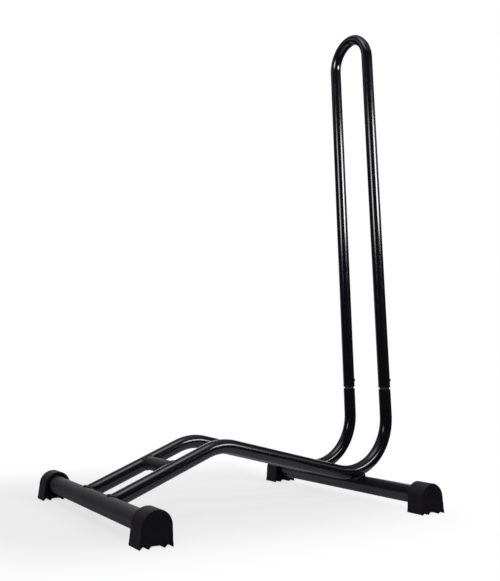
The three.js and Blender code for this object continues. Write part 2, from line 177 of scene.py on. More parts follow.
class RackFinishes(bpy.types.PropertyGroup):
    """Colours and wear of the finishes."""

    gloss_paint: colour("Gloss paint", "Rails, hoop and welds", (0.0024, 0.0019, 0.0040))
    satin_paint: colour("Satin paint", "Front cross tube and brace", (0.0145, 0.0136, 0.0142))
    rear_paint: colour("Rear tube paint", "Rear cross tube", (0.0050, 0.0042, 0.0048))
    cap_plastic: colour("Cap plastic", "Foot caps", (0.0050, 0.0048, 0.0070))
    # Painted light: the arched sides of the caps are drawn paler than their flat ends, standing in for the light on
    # them.
    cap_band: colour("Cap band", "Arched sides of the foot caps", (0.0122, 0.0106, 0.0128))
    sleeve_steel: colour("Sleeve steel", "Plug sleeves", (0.28, 0.28, 0.29))
    button_brass: colour("Button brass", "Snap buttons", (0.30, 0.17, 0.09))
    spring_steel: colour("Spring steel", "Leaf springs", (0.22, 0.22, 0.23))
    # Also the colour that the painted light on top lightens the satin paint and the caps towards.
    dust: colour("Dust", "Dust that settles on top", (0.20, 0.19, 0.17))
    dust_amount: share("Dust amount", "How much dust shows", 0.25)
    rubbing: share("Rubbing", "How far rims and edges are rubbed", 0.35)
    peel_height: length("Paint ripple", "Height of the paint's fine ripple", 0.000001)


class RackStage(bpy.types.PropertyGroup):
    """Floor, light and camera."""

    floor_colour: colour("Floor", "Colour of the plain floor", (0.70, 0.70, 0.69))
    lamp_level: FloatProperty(name="Lamp level", description="Level of all lamps together", default=1.0, min=0.0)
    room_level: share("Room level", "Level of the soft light that fills the room", 0.5)
    mirror_level: share("Dark room", "Level of the room as reflections see it", 0.035)
    focal_length: FloatProperty(
        name="Focal length", description="Focal length of the camera in millimetres", default=51.777, min=1.0,
        unit="CAMERA",
    )


class RackSettings(bpy.types.PropertyGroup):
    """All settings of the rack."""

    tubes: PointerProperty(type=RackTubes)
    caps: PointerProperty(type=RackCaps)
    joint: PointerProperty(type=RackJoint)
    welds: PointerProperty(type=RackWelds)
    finishes: PointerProperty(type=RackFinishes)
    stage: PointerProperty(type=RackStage)


# ---- lines ----------------------------------------------------------------------------------------------------------
def unit(v):
    """Vectors divided by their lengths."""
    return v / np.linalg.norm(v, axis=-1, keepdims=True)


def flat(x, z):
    """A point or direction of the rail's plane in space."""
    return np.array([x, 0.0, z])


def smooth_step(low, high, value):
    """0 below low and 1 above high, with the curve 3t² - 2t³ in between."""
    t = np.clip((value - low) / (high - low), 0, 1)
    return t * t * (3 - 2 * t)


def around(count, shift=0.0):
    """Angles of count equal steps round a circle."""
    return 2 * math.pi * (np.arange(count) + shift) / count


def turned(s, r, v):
    """Points (s, r cos v, r sin v) of an outline turned round the axis."""
    return np.stack(np.broadcast_arrays(s, r * np.cos(v), r * np.sin(v)), -1)


def rounded_square(v, power):
    """Points of the curve |x|^power + |y|^power = 1 in the directions v: a square whose corners are rounded."""
    c, d = np.cos(v), np.sin(v)
    size = (abs(c) ** power + abs(d) ** power) ** (-1 / power)
    return c * size, d * size


def bent_line(corners, radii):
    """Runs of a line with rounded corners, each (length, start, direction, curvature).
    A corner that turns by a with radius r is cut back by r tan(a / 2) and filled with an arc of curvature 1 / r."""
    corners = [np.asarray(c, float) for c in corners]
    runs, here = [], corners[0]
    for before, corner, after, radius in zip(corners, corners[1:], corners[2:], radii):
        into, out = unit(corner - before), unit(after - corner)
        turn = math.atan2(into[0] * out[1] - into[1] * out[0], into @ out)
        cut = radius * math.tan(abs(turn) / 2)
        runs.append((np.linalg.norm(corner - into * cut - here), here, into, 0.0))
        runs.append((abs(turn) * radius, corner - into * cut, into, math.copysign(1 / radius, turn)))
        here = corner + out * cut
    runs.append((np.linalg.norm(corners[-1] - here), here, unit(corners[-1] - here), 0.0))
    return runs


def on_line(runs, s):
    """Points and directions at distances s. On a run of curvature k the direction turns by k times the distance d,
    and the point has gone sin(k d) / k forward and (1 - cos(k d)) / k to the left."""
    s = np.asarray(s, float)
    points, directions = np.zeros(s.shape + (2,)), np.zeros(s.shape + (2,))
    begin = 0.0
    for number, (run, start, forward, k) in enumerate(runs):
        after = s >= begin if number else s > -np.inf
        before = s < begin + run if number < len(runs) - 1 else s < np.inf
        d = (s - begin)[..., None]
        left = np.array([-forward[1], forward[0]])
        if k:
            p = start + np.sin(k * d) / k * forward + (1 - np.cos(k * d)) / k * left
            t = np.cos(k * d) * forward + np.sin(k * d) * left
        else:
            p, t = start + d * forward, forward + 0 * d
        here = (after & before)[..., None]
        points, directions = np.where(here, p, points), np.where(here, t, directions)
        begin += run
    return points, directions


def line_length(runs):
    """Length of all runs together."""
    return sum(run for run, *_ in runs)


def marks_on(runs, straight=0.02, bend=math.radians(3)):
    """Distances at which the section is drawn: even steps on straight runs and a fixed angle in bends."""
    marks, begin = [np.zeros(1)], 0.0
    for run, _, _, k in runs:
        count = max(1, math.ceil(run / (bend / abs(k) if k else straight)))
        marks.append(begin + run * np.arange(1, count + 1) / count)
        begin += run
    return np.concatenate(marks)


class RackLines:
    """The centre lines that the pieces share, worked out from the settings once for each operator."""

    def __init__(self, tubes):
        t = self.tubes = tubes
        self.bar, self.rail = t.bar_diameter / 2, t.rail_diameter / 2
        self.bore, self.brace = self.rail - t.wall, (t.rail_diameter - t.brace_under) / 2
        self.front, self.rear = FRONT_AXIS[[0, 2]], REAR_AXIS[[0, 2]]
        lean = t.leg_lean
        self.leg_up = np.array([-math.sin(lean), math.cos(lean)])
        self.leg_out = np.array([math.cos(lean), math.sin(lean)])
        self.up3, self.out3 = flat(*self.leg_up), flat(*self.leg_out)
        # The front slope touches a circle of radius offset round the front tube's axis and passes the hump's corner.
        self.offset = self.bar - self.rail - t.ledge
        slope = math.atan2(t.hump_rise, t.hump_x) - math.asin(self.offset / math.hypot(t.hump_x, t.hump_rise))
        self.slope = np.array([math.cos(slope), math.sin(slope)])
        self.slope_up = np.array([-self.slope[1], self.slope[0]])
        self.slope3, self.slope_up3 = flat(*self.slope), flat(*self.slope_up)
        self.start = self.front + self.offset * self.slope_up
        self.rail_runs, self.joint = self.seated_rail()
        self.brace_axis = self.start + self.slope * (self.front[0] + t.brace_x - self.start[0]) / self.slope[0]

    def rail_for(self, corner_height):
        """Rail line and joint point for a height of the low bend's corner."""
        t = self.tubes
        corner = np.array([self.rear[0] + t.low_bend_back, corner_height])
        joint = corner + self.leg_up * (t.joint_height - corner_height) / self.leg_up[1]
        hump = self.front + np.array([t.hump_x, t.hump_rise])
        end = joint - self.leg_up * t.joint_open / 2
        return bent_line([self.start, hump, corner, end], [t.hump_radius, t.low_bend_radius]), joint

    def seated_rail(self):
        """The low corner is found by halving: the rail's line passes the rear tube's axis at both radii and the gap."""
        wanted, low, high = self.bar + self.rail + SEAT_GAP, -0.05, 0.1
        for _ in range(40):
            middle = (low + high) / 2
            runs, _ = self.rail_for(middle)
            points, _ = on_line(runs, np.linspace(0, line_length(runs), 1500))
            near = np.linalg.norm(points - self.rear, axis=1).min() < wanted
            low, high = (middle, high) if near else (low, middle)
        return self.rail_for((low + high) / 2)

    def rear_seat(self):
        """Point of the rail's line nearest the rear tube's axis."""
        points, _ = on_line(self.rail_runs, np.linspace(0, line_length(self.rail_runs), 6000))
        return points[np.linalg.norm(points - self.rear, axis=1).argmin()]

    def leg_point(self, up, out=0.0, y=0.0):
        """A point by its height above the joint along the leg and its distance behind the leg's axis."""
        p = self.joint + up * self.leg_up + out * self.leg_out
        return np.array([p[0], y, p[1]])


# ---- surfaces -------------------------------------------------------------------------------------------------------
# Tubes are drawn straight first, in "unrolled" space: distance along the line, and two offsets from the line.
# A place function then bends that space onto the real line. Patterns that follow the tube read the unrolled place.
def along_rail(runs, y):
    """Places unrolled points on a line in the rail's plane at y: first offset to the line's left, second along Y."""

    def place(q):
        p, t = on_line(runs, q[..., 0])
        origin = np.stack([p[..., 0], np.full(p.shape[:-1], y), p[..., 1]], -1)
        side = np.stack([-t[..., 1], np.zeros(t.shape[:-1]), t[..., 0]], -1)
        return origin + q[..., 1:2] * side + q[..., 2:3] * Y

    return place


def along_axis(origin, forward, side):
    """Places unrolled points on a straight axis: first offset along side, second along side x forward."""
    other = np.cross(side, forward)
    return lambda q: origin + q[..., :1] * forward + q[..., 1:2] * side + q[..., 2:3] * other


def along_hoop(lines, runs):
    """Places unrolled points on the hoop's line, which lies in the plane of Y and the legs: first offset outwards,
    second backwards, away from the wheel."""
    origin = lines.leg_point(0.0)

    def place(q):
        p, t = on_line(runs, q[..., 0])
        centre = origin + p[..., :1] * Y + p[..., 1:] * lines.up3
        out = t[..., 1:] * Y - t[..., :1] * lines.up3
        return centre + q[..., 1:2] * out + q[..., 2:3] * lines.out3

    return place


def wall_outline(marks, outer, bore, lip):
    """Closed outline of a tube's wall as distance and radius: out along the skin, round the far lip, back along the
    bore and round the near lip. Each edge of a lip is a quarter circle of radius lip."""
    a = np.linspace(0, math.pi / 2, LIP_STEPS + 1)
    start, end = marks[0], marks[-1]
    inside = marks[(marks > start + 2 * lip) & (marks < end - 2 * lip)]
    s = [inside, end - lip + lip * np.sin(a), end - lip + lip * np.cos(a), inside[::-1]]
    s += [start + lip - lip * np.sin(a), start + lip - lip * np.cos(a)]
    r = [inside * 0 + outer, outer - lip + lip * np.cos(a), bore + lip - lip * np.sin(a), inside * 0 + bore]
    r += [bore + lip - lip * np.cos(a), outer - lip + lip * np.sin(a)]
    return np.concatenate(s), np.concatenate(r), inside


def grid_faces(rows, columns, keep=None):
    """Quads of a grid that closes on itself both ways, as index rows. Where keep is False, the face is left out."""
    u, v = np.meshgrid(np.arange(rows), np.arange(columns), indexing="ij")
    up, right = (u + 1) % rows, (v + 1) % columns
    quads = np.stack([u * columns + v, up * columns + v, up * columns + right, u * columns + right], -1)
    return quads[keep] if keep is not None else quads.reshape(-1, 4)


def tube_wall(marks, outer, bore, lip, sides, holes=()):
    """Unrolled points, faces and rim weights of a tube with a wall and rounded lips: the wall's outline is turned
    round the axis, p = (s, r cos v, r sin v). Each hole (distance, radius) is drilled at v = 90°: a block of the grid
    is left out on the skin and on the bore, and rings that pass from the block's square edge to the circle close it."""
    cells, cell = HOLE_CELLS, outer * 2 * math.pi / sides
    for at, _ in holes:
        block = at + cell * np.arange(-cells, cells + 1)
        clear = (marks < block[0] - 0.2 * cell) | (marks > block[-1] + 0.2 * cell)
        marks = np.sort(np.concatenate([marks[clear], block]))
    s, r, inside = wall_outline(marks, outer, bore, lip)
    points = [turned(s[:, None], r[:, None], around(sides)).reshape(-1, 3)]
    near = np.minimum(s - marks[0], marks[-1] - s)
    rims = [np.repeat(np.clip(1 - near / (6 * lip), 0, 1), sides)]
    keep = np.ones((len(s), sides), bool)
    column, corner, side = sides // 4, np.arange(-cells, cells), np.full(2 * cells, cells)
    ring_s = np.concatenate([side, -corner, -side, corner])  # anticlockwise round the square block
    ring_v = np.concatenate([corner, side, -corner, -side])
    turn = np.arctan2(ring_v, ring_s)
    faces, first = [], len(points[0])
    for at, hole in holes:
        middle = int(np.argmin(abs(inside - at)))
        back = len(s) - 2 * (LIP_STEPS + 1) - 1 - middle  # the same mark on the bore, which runs the other way
        skin = (middle + ring_s) * sides + column + ring_v
        inner = (back - ring_s) * sides + column + ring_v
        for row in (middle, back):
            keep[row - cells : row + cells, column - cells : column + cells] = False
        rings = []
        for radius, mixes in ((outer, (0.35, 0.7, 0.94, 1.0)), (bore, (1.0, 0.94, 0.7, 0.35))):
            circle_v = np.arcsin(hole * np.sin(turn) / radius)
            for mix in mixes:
                angle = math.pi / 2 + ring_v * 2 * math.pi / sides * (1 - mix) + circle_v * mix
                along = at + ring_s * cell * (1 - mix) + hole * np.cos(turn) * mix
                rings.append(np.stack([along, radius * np.cos(angle), radius * np.sin(angle)], -1))
        new = np.concatenate(rings)
        points.append(new)
        rims.append(np.repeat([0.0, 0.3, 0.8, 1.0, 1.0, 0.8, 0.3, 0.0], len(turn)))
        index = np.vstack([skin, first + np.arange(len(new)).reshape(-1, len(turn)), inner])
        after = np.roll(index, -1, axis=1)
        faces.append(np.stack([index[:-1], after[:-1], after[1:], index[1:]], -1).reshape(-1, 4))
        first += len(new)
    return np.concatenate(points), np.concatenate([grid_faces(len(s), sides, keep), *faces]), np.concatenate(rims)


def capped_grid(points):
    """Vertices and faces of a grid whose first and last rows are single points: rows in between close round, and
    triangles fan out to each pole."""
    first, body, last = points[0, :1], points[1:-1], points[-1, :1]
    rows, columns = body.shape[:2]
    keep = np.ones((rows, columns), bool)
    keep[-1] = False
    quads = grid_faces(rows, columns, keep)
    this = np.arange(columns)
    after = (this + 1) % columns
    low, high = rows * columns, rows * columns + 1
    end = (rows - 1) * columns
    fans = [np.stack([this, after, np.full(columns, low)], -1)]
    fans.append(np.stack([end + after, end + this, np.full(columns, high)], -1))
    return np.concatenate([body.reshape(-1, 3), first, last]), quads, np.concatenate(fans)


def enclosed_volume(vertices, faces):
    """Six times the volume inside the faces: the sum of a · (b x c) over their triangles, negative if they face in."""
    total = 0.0
    for block in faces:
        corners = [vertices[block[:, k]] for k in range(block.shape[1])]
        for b, c in zip(corners[1:-1], corners[2:]):
            total += np.einsum("ij,ij->", corners[0], np.cross(b, c))
    return total


def add_piece(name, vertices, *faces, fields=None, crease=40.0):
    """Makes a mesh object from vertex and face arrays, facing outwards. fields are values or vectors kept on its points
    for the materials. Edges sharper than crease degrees stay sharp, and the rest is shaded smooth."""
    faces = [block for block in faces if len(block)]
    if enclosed_volume(vertices, faces) < 0:
        faces = [block[:, ::-1] for block in faces]
    mesh = bpy.data.meshes.new(name)
    mesh.vertices.add(len(vertices))
    mesh.vertices.foreach_set("co", np.asarray(vertices, np.float32).ravel())
    sizes = np.concatenate([np.full(len(block), block.shape[1]) for block in faces])
    corners = np.concatenate([block.ravel() for block in faces])
    mesh.loops.add(len(corners))
    mesh.loops.foreach_set("vertex_index", corners.astype(np.int32))
    mesh.polygons.add(len(sizes))
    mesh.polygons.foreach_set("loop_start", np.concatenate([[0], np.cumsum(sizes)[:-1]]).astype(np.int32))
    mesh.update(calc_edges=True)
    if mesh.validate():
        raise RuntimeError(f"{name}: its faces don't make a sound mesh")
    mesh.shade_smooth()
    mesh.set_sharp_from_angle(angle=math.radians(crease))
    for field, values in (fields or {}).items():
        values = np.asarray(values, np.float32)
        kind, key = ("FLOAT_VECTOR", "vector") if values.ndim == 2 else ("FLOAT", "value")
        mesh.attributes.new(field, kind, "POINT").data.foreach_set(key, values.ravel())
    return linked(name, mesh)


def linked(name, data):
    """A new object of the scene."""
    made = bpy.data.objects.new(name, data)
    bpy.context.scene.collection.objects.link(made)
    return made


def add_tube(name, place, marks, outer, bore, lip, sides=64, shape=None, holes=()):
    """A tube with a wall: drawn straight, shaped by the function shape in unrolled space, then placed."""
    unrolled, faces, rim = tube_wall(marks, outer, bore, lip, sides, holes)
    shaped = shape(unrolled) if shape else unrolled
    return add_piece(name, place(shaped), faces, fields={"unrolled": unrolled, "rim": rim})


def seat(piece, node, body, material):
    """Finishes a piece: its material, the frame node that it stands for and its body."""
    piece.data.materials.append(material)
    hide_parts(node)
    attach(piece, body)


# ---- patterns shared by the finishes --------------------------------------------------------------------------------
def feed(tree, node, inputs):
    """Links sockets to a node's inputs, and sets plain values."""
    for key, value in inputs.items():
        if isinstance(value, bpy.types.NodeSocket):
            tree.links.new(value, node.inputs[key])
        else:
            node.inputs[key].default_value = value


def wire(tree, kind, inputs=None, **settings):
    """Adds a node, sets its options and feeds its inputs."""
    made = tree.nodes.new("ShaderNode" + kind)
    for key, value in settings.items():
        setattr(made, key, value)
    feed(tree, made, inputs or {})
    made.location = (len(tree.nodes) * 180, 0)
    return made


def maths(tree, operation, a, b=0.0, c=0.0, clamp=False):
    """One Math node's result."""
    return wire(tree, "Math", {0: a, 1: b, 2: c}, operation=operation, use_clamp=clamp).outputs[0]


def vector_maths(tree, operation, a, b=(0.0, 0.0, 0.0), c=(0.0, 0.0, 0.0), output="Vector"):
    """One Vector Math node's result."""
    return wire(tree, "VectorMath", {0: a, 1: b, 2: c}, operation=operation).outputs[output]


def axes(tree, vector):
    """A vector's outputs X, Y and Z."""
    return wire(tree, "SeparateXYZ", {0: vector}).outputs


def ramp(tree, value, low, high, to_low=0.0, to_high=1.0):
    """A value mapped from low..high to to_low..to_high, smoothly and clamped."""
    inputs = {"Value": value, "From Min": low, "From Max": high, "To Min": to_low, "To Max": to_high}
    return wire(tree, "MapRange", inputs, interpolation_type="SMOOTHSTEP").outputs["Result"]


def noise(tree, place, scale, detail=2.0, roughness=0.5):
    """Noise from 0 to 1 at a place; scale is in cycles to the metre."""
    inputs = {"Vector": place, "Scale": scale, "Detail": detail, "Roughness": roughness}
    return wire(tree, "TexNoise", inputs).outputs[0]


def cell_distance(tree, place, size):
    """Distance from the middle of the nearest of many scattered cells; size is their usual width."""
    inputs = {"Vector": place, "Scale": maths(tree, "DIVIDE", 1.0, size)}
    return wire(tree, "TexVoronoi", inputs).outputs["Distance"]


def mixed(tree, factor, a, b):
    """Colour a turned into b by factor."""
    return wire(tree, "Mix", {0: factor, 6: a, 7: b}, data_type="RGBA").outputs[2]


def pattern_group(name, inputs, outputs, build):
    """A shader node group with named inputs (a default each, or None for a vector) and outputs, made once. build
    returns its output sockets."""
    group = bpy.data.node_groups.get(name)
    if group:
        return group
    group = bpy.data.node_groups.new(name, "ShaderNodeTree")
    for key, default in inputs.items():
        kind = "NodeSocketVector" if default is None else "NodeSocketFloat"
        socket = group.interface.new_socket(name=key, in_out="INPUT", socket_type=kind)
        if default is not None:
            socket.default_value = default
    for key in outputs:
        group.interface.new_socket(name=key, in_out="OUTPUT", socket_type="NodeSocketFloat")
    source = group.nodes.new("NodeGroupInput").outputs
    results = build(group, source)
    sink = group.nodes.new("NodeGroupOutput")
    for key, socket in zip(outputs, results):
        group.links.new(socket, sink.inputs[key])
    return group


def build_paint_skin(tree, source):
    """Fine ripple of a sprayed coat, and soft patches in its shine."""
    ripple = noise(tree, source["Place"], maths(tree, "DIVIDE", 1.0, source["Ripple Size"]), 1.0, 0.4)
    patches = noise(tree, source["Place"], maths(tree, "DIVIDE", 1.0, source["Patch Size"]), 3.0, 0.55)
    return ripple, ramp(tree, patches, 0.3, 0.7)


def build_dust_and_top_light(tree, source):
    """Dust on faces that look up: thin film where the noise is high and small separate specks. The second output is
    painted light: faces are lightened by how far they look up, a little more under the film, standing in for light
    falling on tops."""
    up = axes(tree, wire(tree, "NewGeometry").outputs["Normal"])["Z"]
    film = ramp(tree, noise(tree, source["Place"], 22.0, 4.0, 0.6), 0.42, 0.75)
    film = maths(tree, "MULTIPLY", film, ramp(tree, up, 0.1, 0.9))
    speck = ramp(tree, cell_distance(tree, source["Place"], source["Speck Size"]), 0.05, 0.11, 1.0, 0.0)
    chosen = ramp(tree, noise(tree, source["Place"], 160.0, 2.0), 0.60, 0.68)
    speck = maths(tree, "MULTIPLY", maths(tree, "MULTIPLY", speck, chosen), ramp(tree, up, -0.4, 0.3))
    both = maths(tree, "ADD", maths(tree, "MULTIPLY", film, 0.35), speck, clamp=True)
    # Painted light on top: lighter the more a face looks up, a little more where the dust film lies.
    painted_top_light = maths(tree, "MULTIPLY", ramp(tree, up, 0.0, 1.0), maths(tree, "MULTIPLY_ADD", film, 0.3, 0.85))
    return maths(tree, "MULTIPLY", both, source["Amount"]), painted_top_light


def build_rubbed_rim(tree, source):
    """Rubbed lips and edges: the rim weight kept on the mesh, broken up by noise."""
    rim = wire(tree, "Attribute", attribute_name="rim").outputs["Fac"]
    broken = noise(tree, source["Place"], 420.0, 3.0, 0.6)
    reach = maths(tree, "ADD", rim, maths(tree, "SUBTRACT", broken, 0.5))
    return (maths(tree, "MULTIPLY", ramp(tree, reach, 0.72, 1.05), source["Amount"]),)


def build_fine_scratches(tree, source):
    """Hairline marks along the tube: noise stretched thirty times along the line, kept near its middle value."""
    drawn = wire(tree, "Mapping", {"Vector": source["Place"], "Scale": (0.035, 1.0, 1.0)})
    lines = noise(tree, drawn.outputs[0], 1500.0, 2.0, 0.6)
    thin = ramp(tree, maths(tree, "ABSOLUTE", maths(tree, "SUBTRACT", lines, 0.5)), 0.0, 0.018, 1.0, 0.0)
    patches = ramp(tree, noise(tree, source["Place"], 28.0, 2.0), 0.5, 0.7)
    return (maths(tree, "MULTIPLY", maths(tree, "MULTIPLY", thin, patches), source["Amount"]),)


def build_moulded_grain(tree, source):
    """Spark-eroded grain of a moulded part: small rounded pits over a slow swell, and uneven shine."""
    pits = cell_distance(tree, source["Place"], source["Grain Size"])
    swell = noise(tree, source["Place"], 90.0, 3.0)
    height = maths(tree, "ADD", pits, maths(tree, "MULTIPLY", swell, 1.5))
    return height, ramp(tree, noise(tree, source["Place"], 45.0, 4.0, 0.6), 0.3, 0.7)


PATTERNS = {
    "paint_skin": ({"Place": None, "Ripple Size": 0.0016, "Patch Size": 0.03}, ("Height", "Patches"), build_paint_skin),
    "settled_dust": ({"Place": None, "Amount": 0.5, "Speck Size": 0.004}, ("Dust", "Haze"), build_dust_and_top_light),
    "rubbed_rim": ({"Place": None, "Amount": 0.5}, ("Rubbed",), build_rubbed_rim),
    "fine_scratches": ({"Place": None, "Amount": 0.5}, ("Scratches",), build_fine_scratches),
    "moulded_grain": ({"Place": None, "Grain Size": 0.0006}, ("Height", "Patches"), build_moulded_grain),
}


def pattern(tree, name, **inputs):
    """Places a shared pattern in a material with its own values, and returns its outputs."""
    made = tree.nodes.new("ShaderNodeGroup")
    made.node_tree = pattern_group(name, *PATTERNS[name])
    feed(tree, made, {key.replace("_", " ").title(): value for key, value in inputs.items()})
    return made.outputs


def new_finish(name, build):
    """A material made once by build, which gets its node tree and its Principled BSDF."""
    made = bpy.data.materials.get(name)
    if made:
        return made
    made = bpy.data.materials.new(name)
    made.use_nodes = True
    build(made.node_tree, made.node_tree.nodes["Principled BSDF"])
    return made


def put(tree, shader, **values):
    """Sets or links the shader's sockets; base_color=... stands for the socket Base Color."""
    feed(tree, shader, {key.replace("_", " ").title().replace("Ior", "IOR"): value for key, value in values.items()})


def rgba(values, factor=1.0, lift=0.0):
    """A colour with full alpha, made stronger by a factor and lifted."""
    return (*(value * factor + lift for value in values), 1.0)


def unrolled_place(tree):
    """The place on a tube before it was bent, kept on the mesh."""
    return wire(tree, "Attribute", attribute_name="unrolled").outputs["Vector"]


def object_place(tree):
    """The place in the frame."""
    return wire(tree, "TexCoord").outputs["Object"]


# Sprayed paints: setting with the colour, roughness, size of the ripple, its height as a multiple of the setting Paint
# ripple, specular level, and strength of the painted light on top, which lightens faces that look up towards the dust
# colour.
PAINTS = {
    "gloss_black_paint": ("gloss_paint", 0.135, 0.0022, 1, 0.7, 0.0),
    "satin_grey_paint": ("satin_paint", 0.595, 0.0009, 4, 0.5, 0.22),
    "half_gloss_black_paint": ("rear_paint", 0.275, 0.0015, 2, 0.6, 0.0),
    "black_weld_paint": ("gloss_paint", 0.215, 0.0012, 10, 0.7, 0.0),
}


def paint(finishes, name):
    """Sprayed coat over steel: even colour, soft patches in the shine, fine ripple, a dusty film and specks on top,
    rubbed rims, and painted light that lightens the tops where the table gives it a strength.
    """
    setting, roughness, ripple_size, ripple_height, specular, painted_top_light = PAINTS[name]
    colour = getattr(finishes, setting)

    def build(tree, shader):
        place = unrolled_place(tree)
        skin = pattern(tree, "paint_skin", place=place, ripple_size=ripple_size, patch_size=0.035)
        dust_and_light = pattern(tree, "settled_dust", place=place, amount=finishes.dust_amount)
        rubbed = pattern(tree, "rubbed_rim", place=place, amount=finishes.rubbing)["Rubbed"]
        marks = pattern(tree, "fine_scratches", place=place, amount=0.5)["Scratches"]
        tone = mixed(tree, maths(tree, "MULTIPLY", skin["Patches"], 0.6), rgba(colour), rgba(colour, 1.25))
        tone = mixed(tree, maths(tree, "MULTIPLY", rubbed, 0.6), tone, rgba(colour, 3.0, 0.02))
        tone = mixed(tree, maths(tree, "MULTIPLY", dust_and_light["Dust"], 0.05), tone, rgba(finishes.dust))
        if painted_top_light:
            # Painted light: faces that look up are lightened towards the dust colour.
            tone = mixed(tree, maths(tree, "MULTIPLY", dust_and_light["Haze"], painted_top_light), tone, rgba(finishes.dust))
        shine = maths(tree, "MULTIPLY_ADD", skin["Patches"], 0.02, roughness)
        shine = maths(tree, "MULTIPLY_ADD", marks, 0.06, shine)
        shine = maths(tree, "MULTIPLY_ADD", rubbed, 0.15, shine)
        shine = maths(tree, "MULTIPLY_ADD", dust_and_light["Dust"], 0.35, shine, clamp=True)
        height = finishes.peel_height * ripple_height
        bump = wire(tree, "Bump", {"Height": skin["Height"], "Strength": 1.0, "Distance": height})
        put(tree, shader, base_color=tone, roughness=shine, normal=bump.outputs[0], specular_ior_level=specular)

    return new_finish(name, build)


def cap_plastic(finishes):
    """Matt black moulded plastic with a fine grain, a dusty film and specks on top, rubbed edges, painted light that
    makes the arched sides paler than the flat ends, and a little painted light on faces that look up.
    """

    def build(tree, shader):
        place = object_place(tree)
        grain = pattern(tree, "moulded_grain", place=place, grain_size=0.0007)
        dust_and_light = pattern(tree, "settled_dust", place=place, amount=finishes.dust_amount)
        rubbed = pattern(tree, "rubbed_rim", place=place, amount=finishes.rubbing)["Rubbed"]
        dark, light = finishes.cap_plastic, finishes.cap_band
        # The arched sides get the paler colour: painted light, not a different plastic.
        band = wire(tree, "Attribute", attribute_name="band").outputs["Fac"]
        low = mixed(tree, band, rgba(dark), rgba(light))
        high = mixed(tree, band, rgba(dark, 1.3), rgba(light, 1.3))
        tone = mixed(tree, grain["Patches"], low, high)
        tone = mixed(tree, maths(tree, "MULTIPLY", rubbed, 0.5), tone, rgba(dark, 2.2, 0.01))
        tone = mixed(tree, maths(tree, "MULTIPLY", dust_and_light["Dust"], 0.05), tone, rgba(finishes.dust))
        # Painted light: faces that look up are lightened a little towards the dust colour.
        tone = mixed(tree, maths(tree, "MULTIPLY", dust_and_light["Haze"], 0.12), tone, rgba(finishes.dust))
        shine = maths(tree, "MULTIPLY_ADD", grain["Patches"], 0.1, 0.55)
        shine = maths(tree, "MULTIPLY_ADD", rubbed, -0.12, shine)
        bump = wire(tree, "Bump", {"Height": grain["Height"], "Strength": 1.0, "Distance": 0.00005})
        put(tree, shader, base_color=tone, roughness=shine, normal=bump.outputs[0], specular_ior_level=0.1)

    return new_finish("matt_black_plastic", build)


def plain_metal(name, colour, roughness, streaks):
    """Bare metal with drawn streaks and slightly uneven tone. streaks scales the pattern along each axis."""

    def build(tree, shader):
        place = unrolled_place(tree)
        drawn = wire(tree, "Mapping", {"Vector": place, "Scale": streaks})
        lines = noise(tree, drawn.outputs[0], 2200.0, 3.0, 0.6)
        stain = ramp(tree, noise(tree, place, 130.0, 4.0, 0.6), 0.35, 0.75)
        tone = mixed(tree, maths(tree, "MULTIPLY", stain, 0.5), rgba(colour), rgba(colour, 0.7))
        shine = maths(tree, "MULTIPLY_ADD", lines, 0.16, roughness)
        shine = maths(tree, "MULTIPLY_ADD", stain, 0.1, shine)
        bump = wire(tree, "Bump", {"Height": lines, "Strength": 0.6, "Distance": 0.000012})
        put(tree, shader, base_color=tone, roughness=shine, normal=bump.outputs[0], metallic=1.0)

    return new_finish(name, build)


# ---- operators ------------------------------------------------------------------------------------------------------
def rack_of(context):
    """The settings of the scene, and the lines worked out from them."""
    settings = context.scene.bike_rack
    return settings, RackLines(settings.tubes)


class RACK_OT_cross_tubes(bpy.types.Operator):
    """Both cross tubes: straight open tubes with rounded lips."""

    bl_idname = "bike_rack.cross_tubes"
    bl_label = "Cross tubes"
    bl_options = {"REGISTER", "UNDO"}

    def execute(self, context):
        settings, lines = rack_of(context)
        tubes = settings.tubes
        marks = np.linspace(-tubes.bar_half, tubes.bar_half, 41)
        for node, axis, coat in (
            ("front_crossbar", lines.front, "satin_grey_paint"),
            ("rear_crossbar", lines.rear, "half_gloss_black_paint"),
        ):
            place = along_axis(flat(*axis), Y, X)
            piece = add_tube(f"{node}_tube", place, marks, lines.bar, lines.bar - tubes.wall, tubes.lip, 72)
            seat(piece, node, "rack", paint(settings.finishes, coat))
        return {"FINISHED"}


class RACK_OT_rails(bpy.types.Operator):
    """Both rails: bent tubes whose front ends are cut to the front tube."""

    bl_idname = "bike_rack.rails"
    bl_label = "Rails"
    bl_options = {"REGISTER", "UNDO"}

    def execute(self, context):
        settings, lines = rack_of(context)
        tubes = settings.tubes
        marks = marks_on(lines.rail_runs, STEP, BEND_STEP)

        def cope(q):
            """The near end slides along the tube to its curve on the front tube: s = sqrt(R² - (offset + a)²)."""
            high = np.clip(lines.offset + q[:, 1], -lines.bar, lines.bar)
            saddle = np.sqrt((lines.bar + SEAT_GAP) ** 2 - high**2)
            q = q.copy()
            q[:, 0] += saddle * (1 - smooth_step(0.0, 0.06, q[:, 0]))
            return q

        for side, sign in SIDES.items():
            place = along_rail(lines.rail_runs, sign * tubes.rail_offset)
            piece = add_tube(f"rail_{side}_tube", place, marks, lines.rail, lines.bore, tubes.lip, 64, cope)
            seat(piece, f"rail_{side}", "rack", paint(settings.finishes, "gloss_black_paint"))
        return {"FINISHED"}


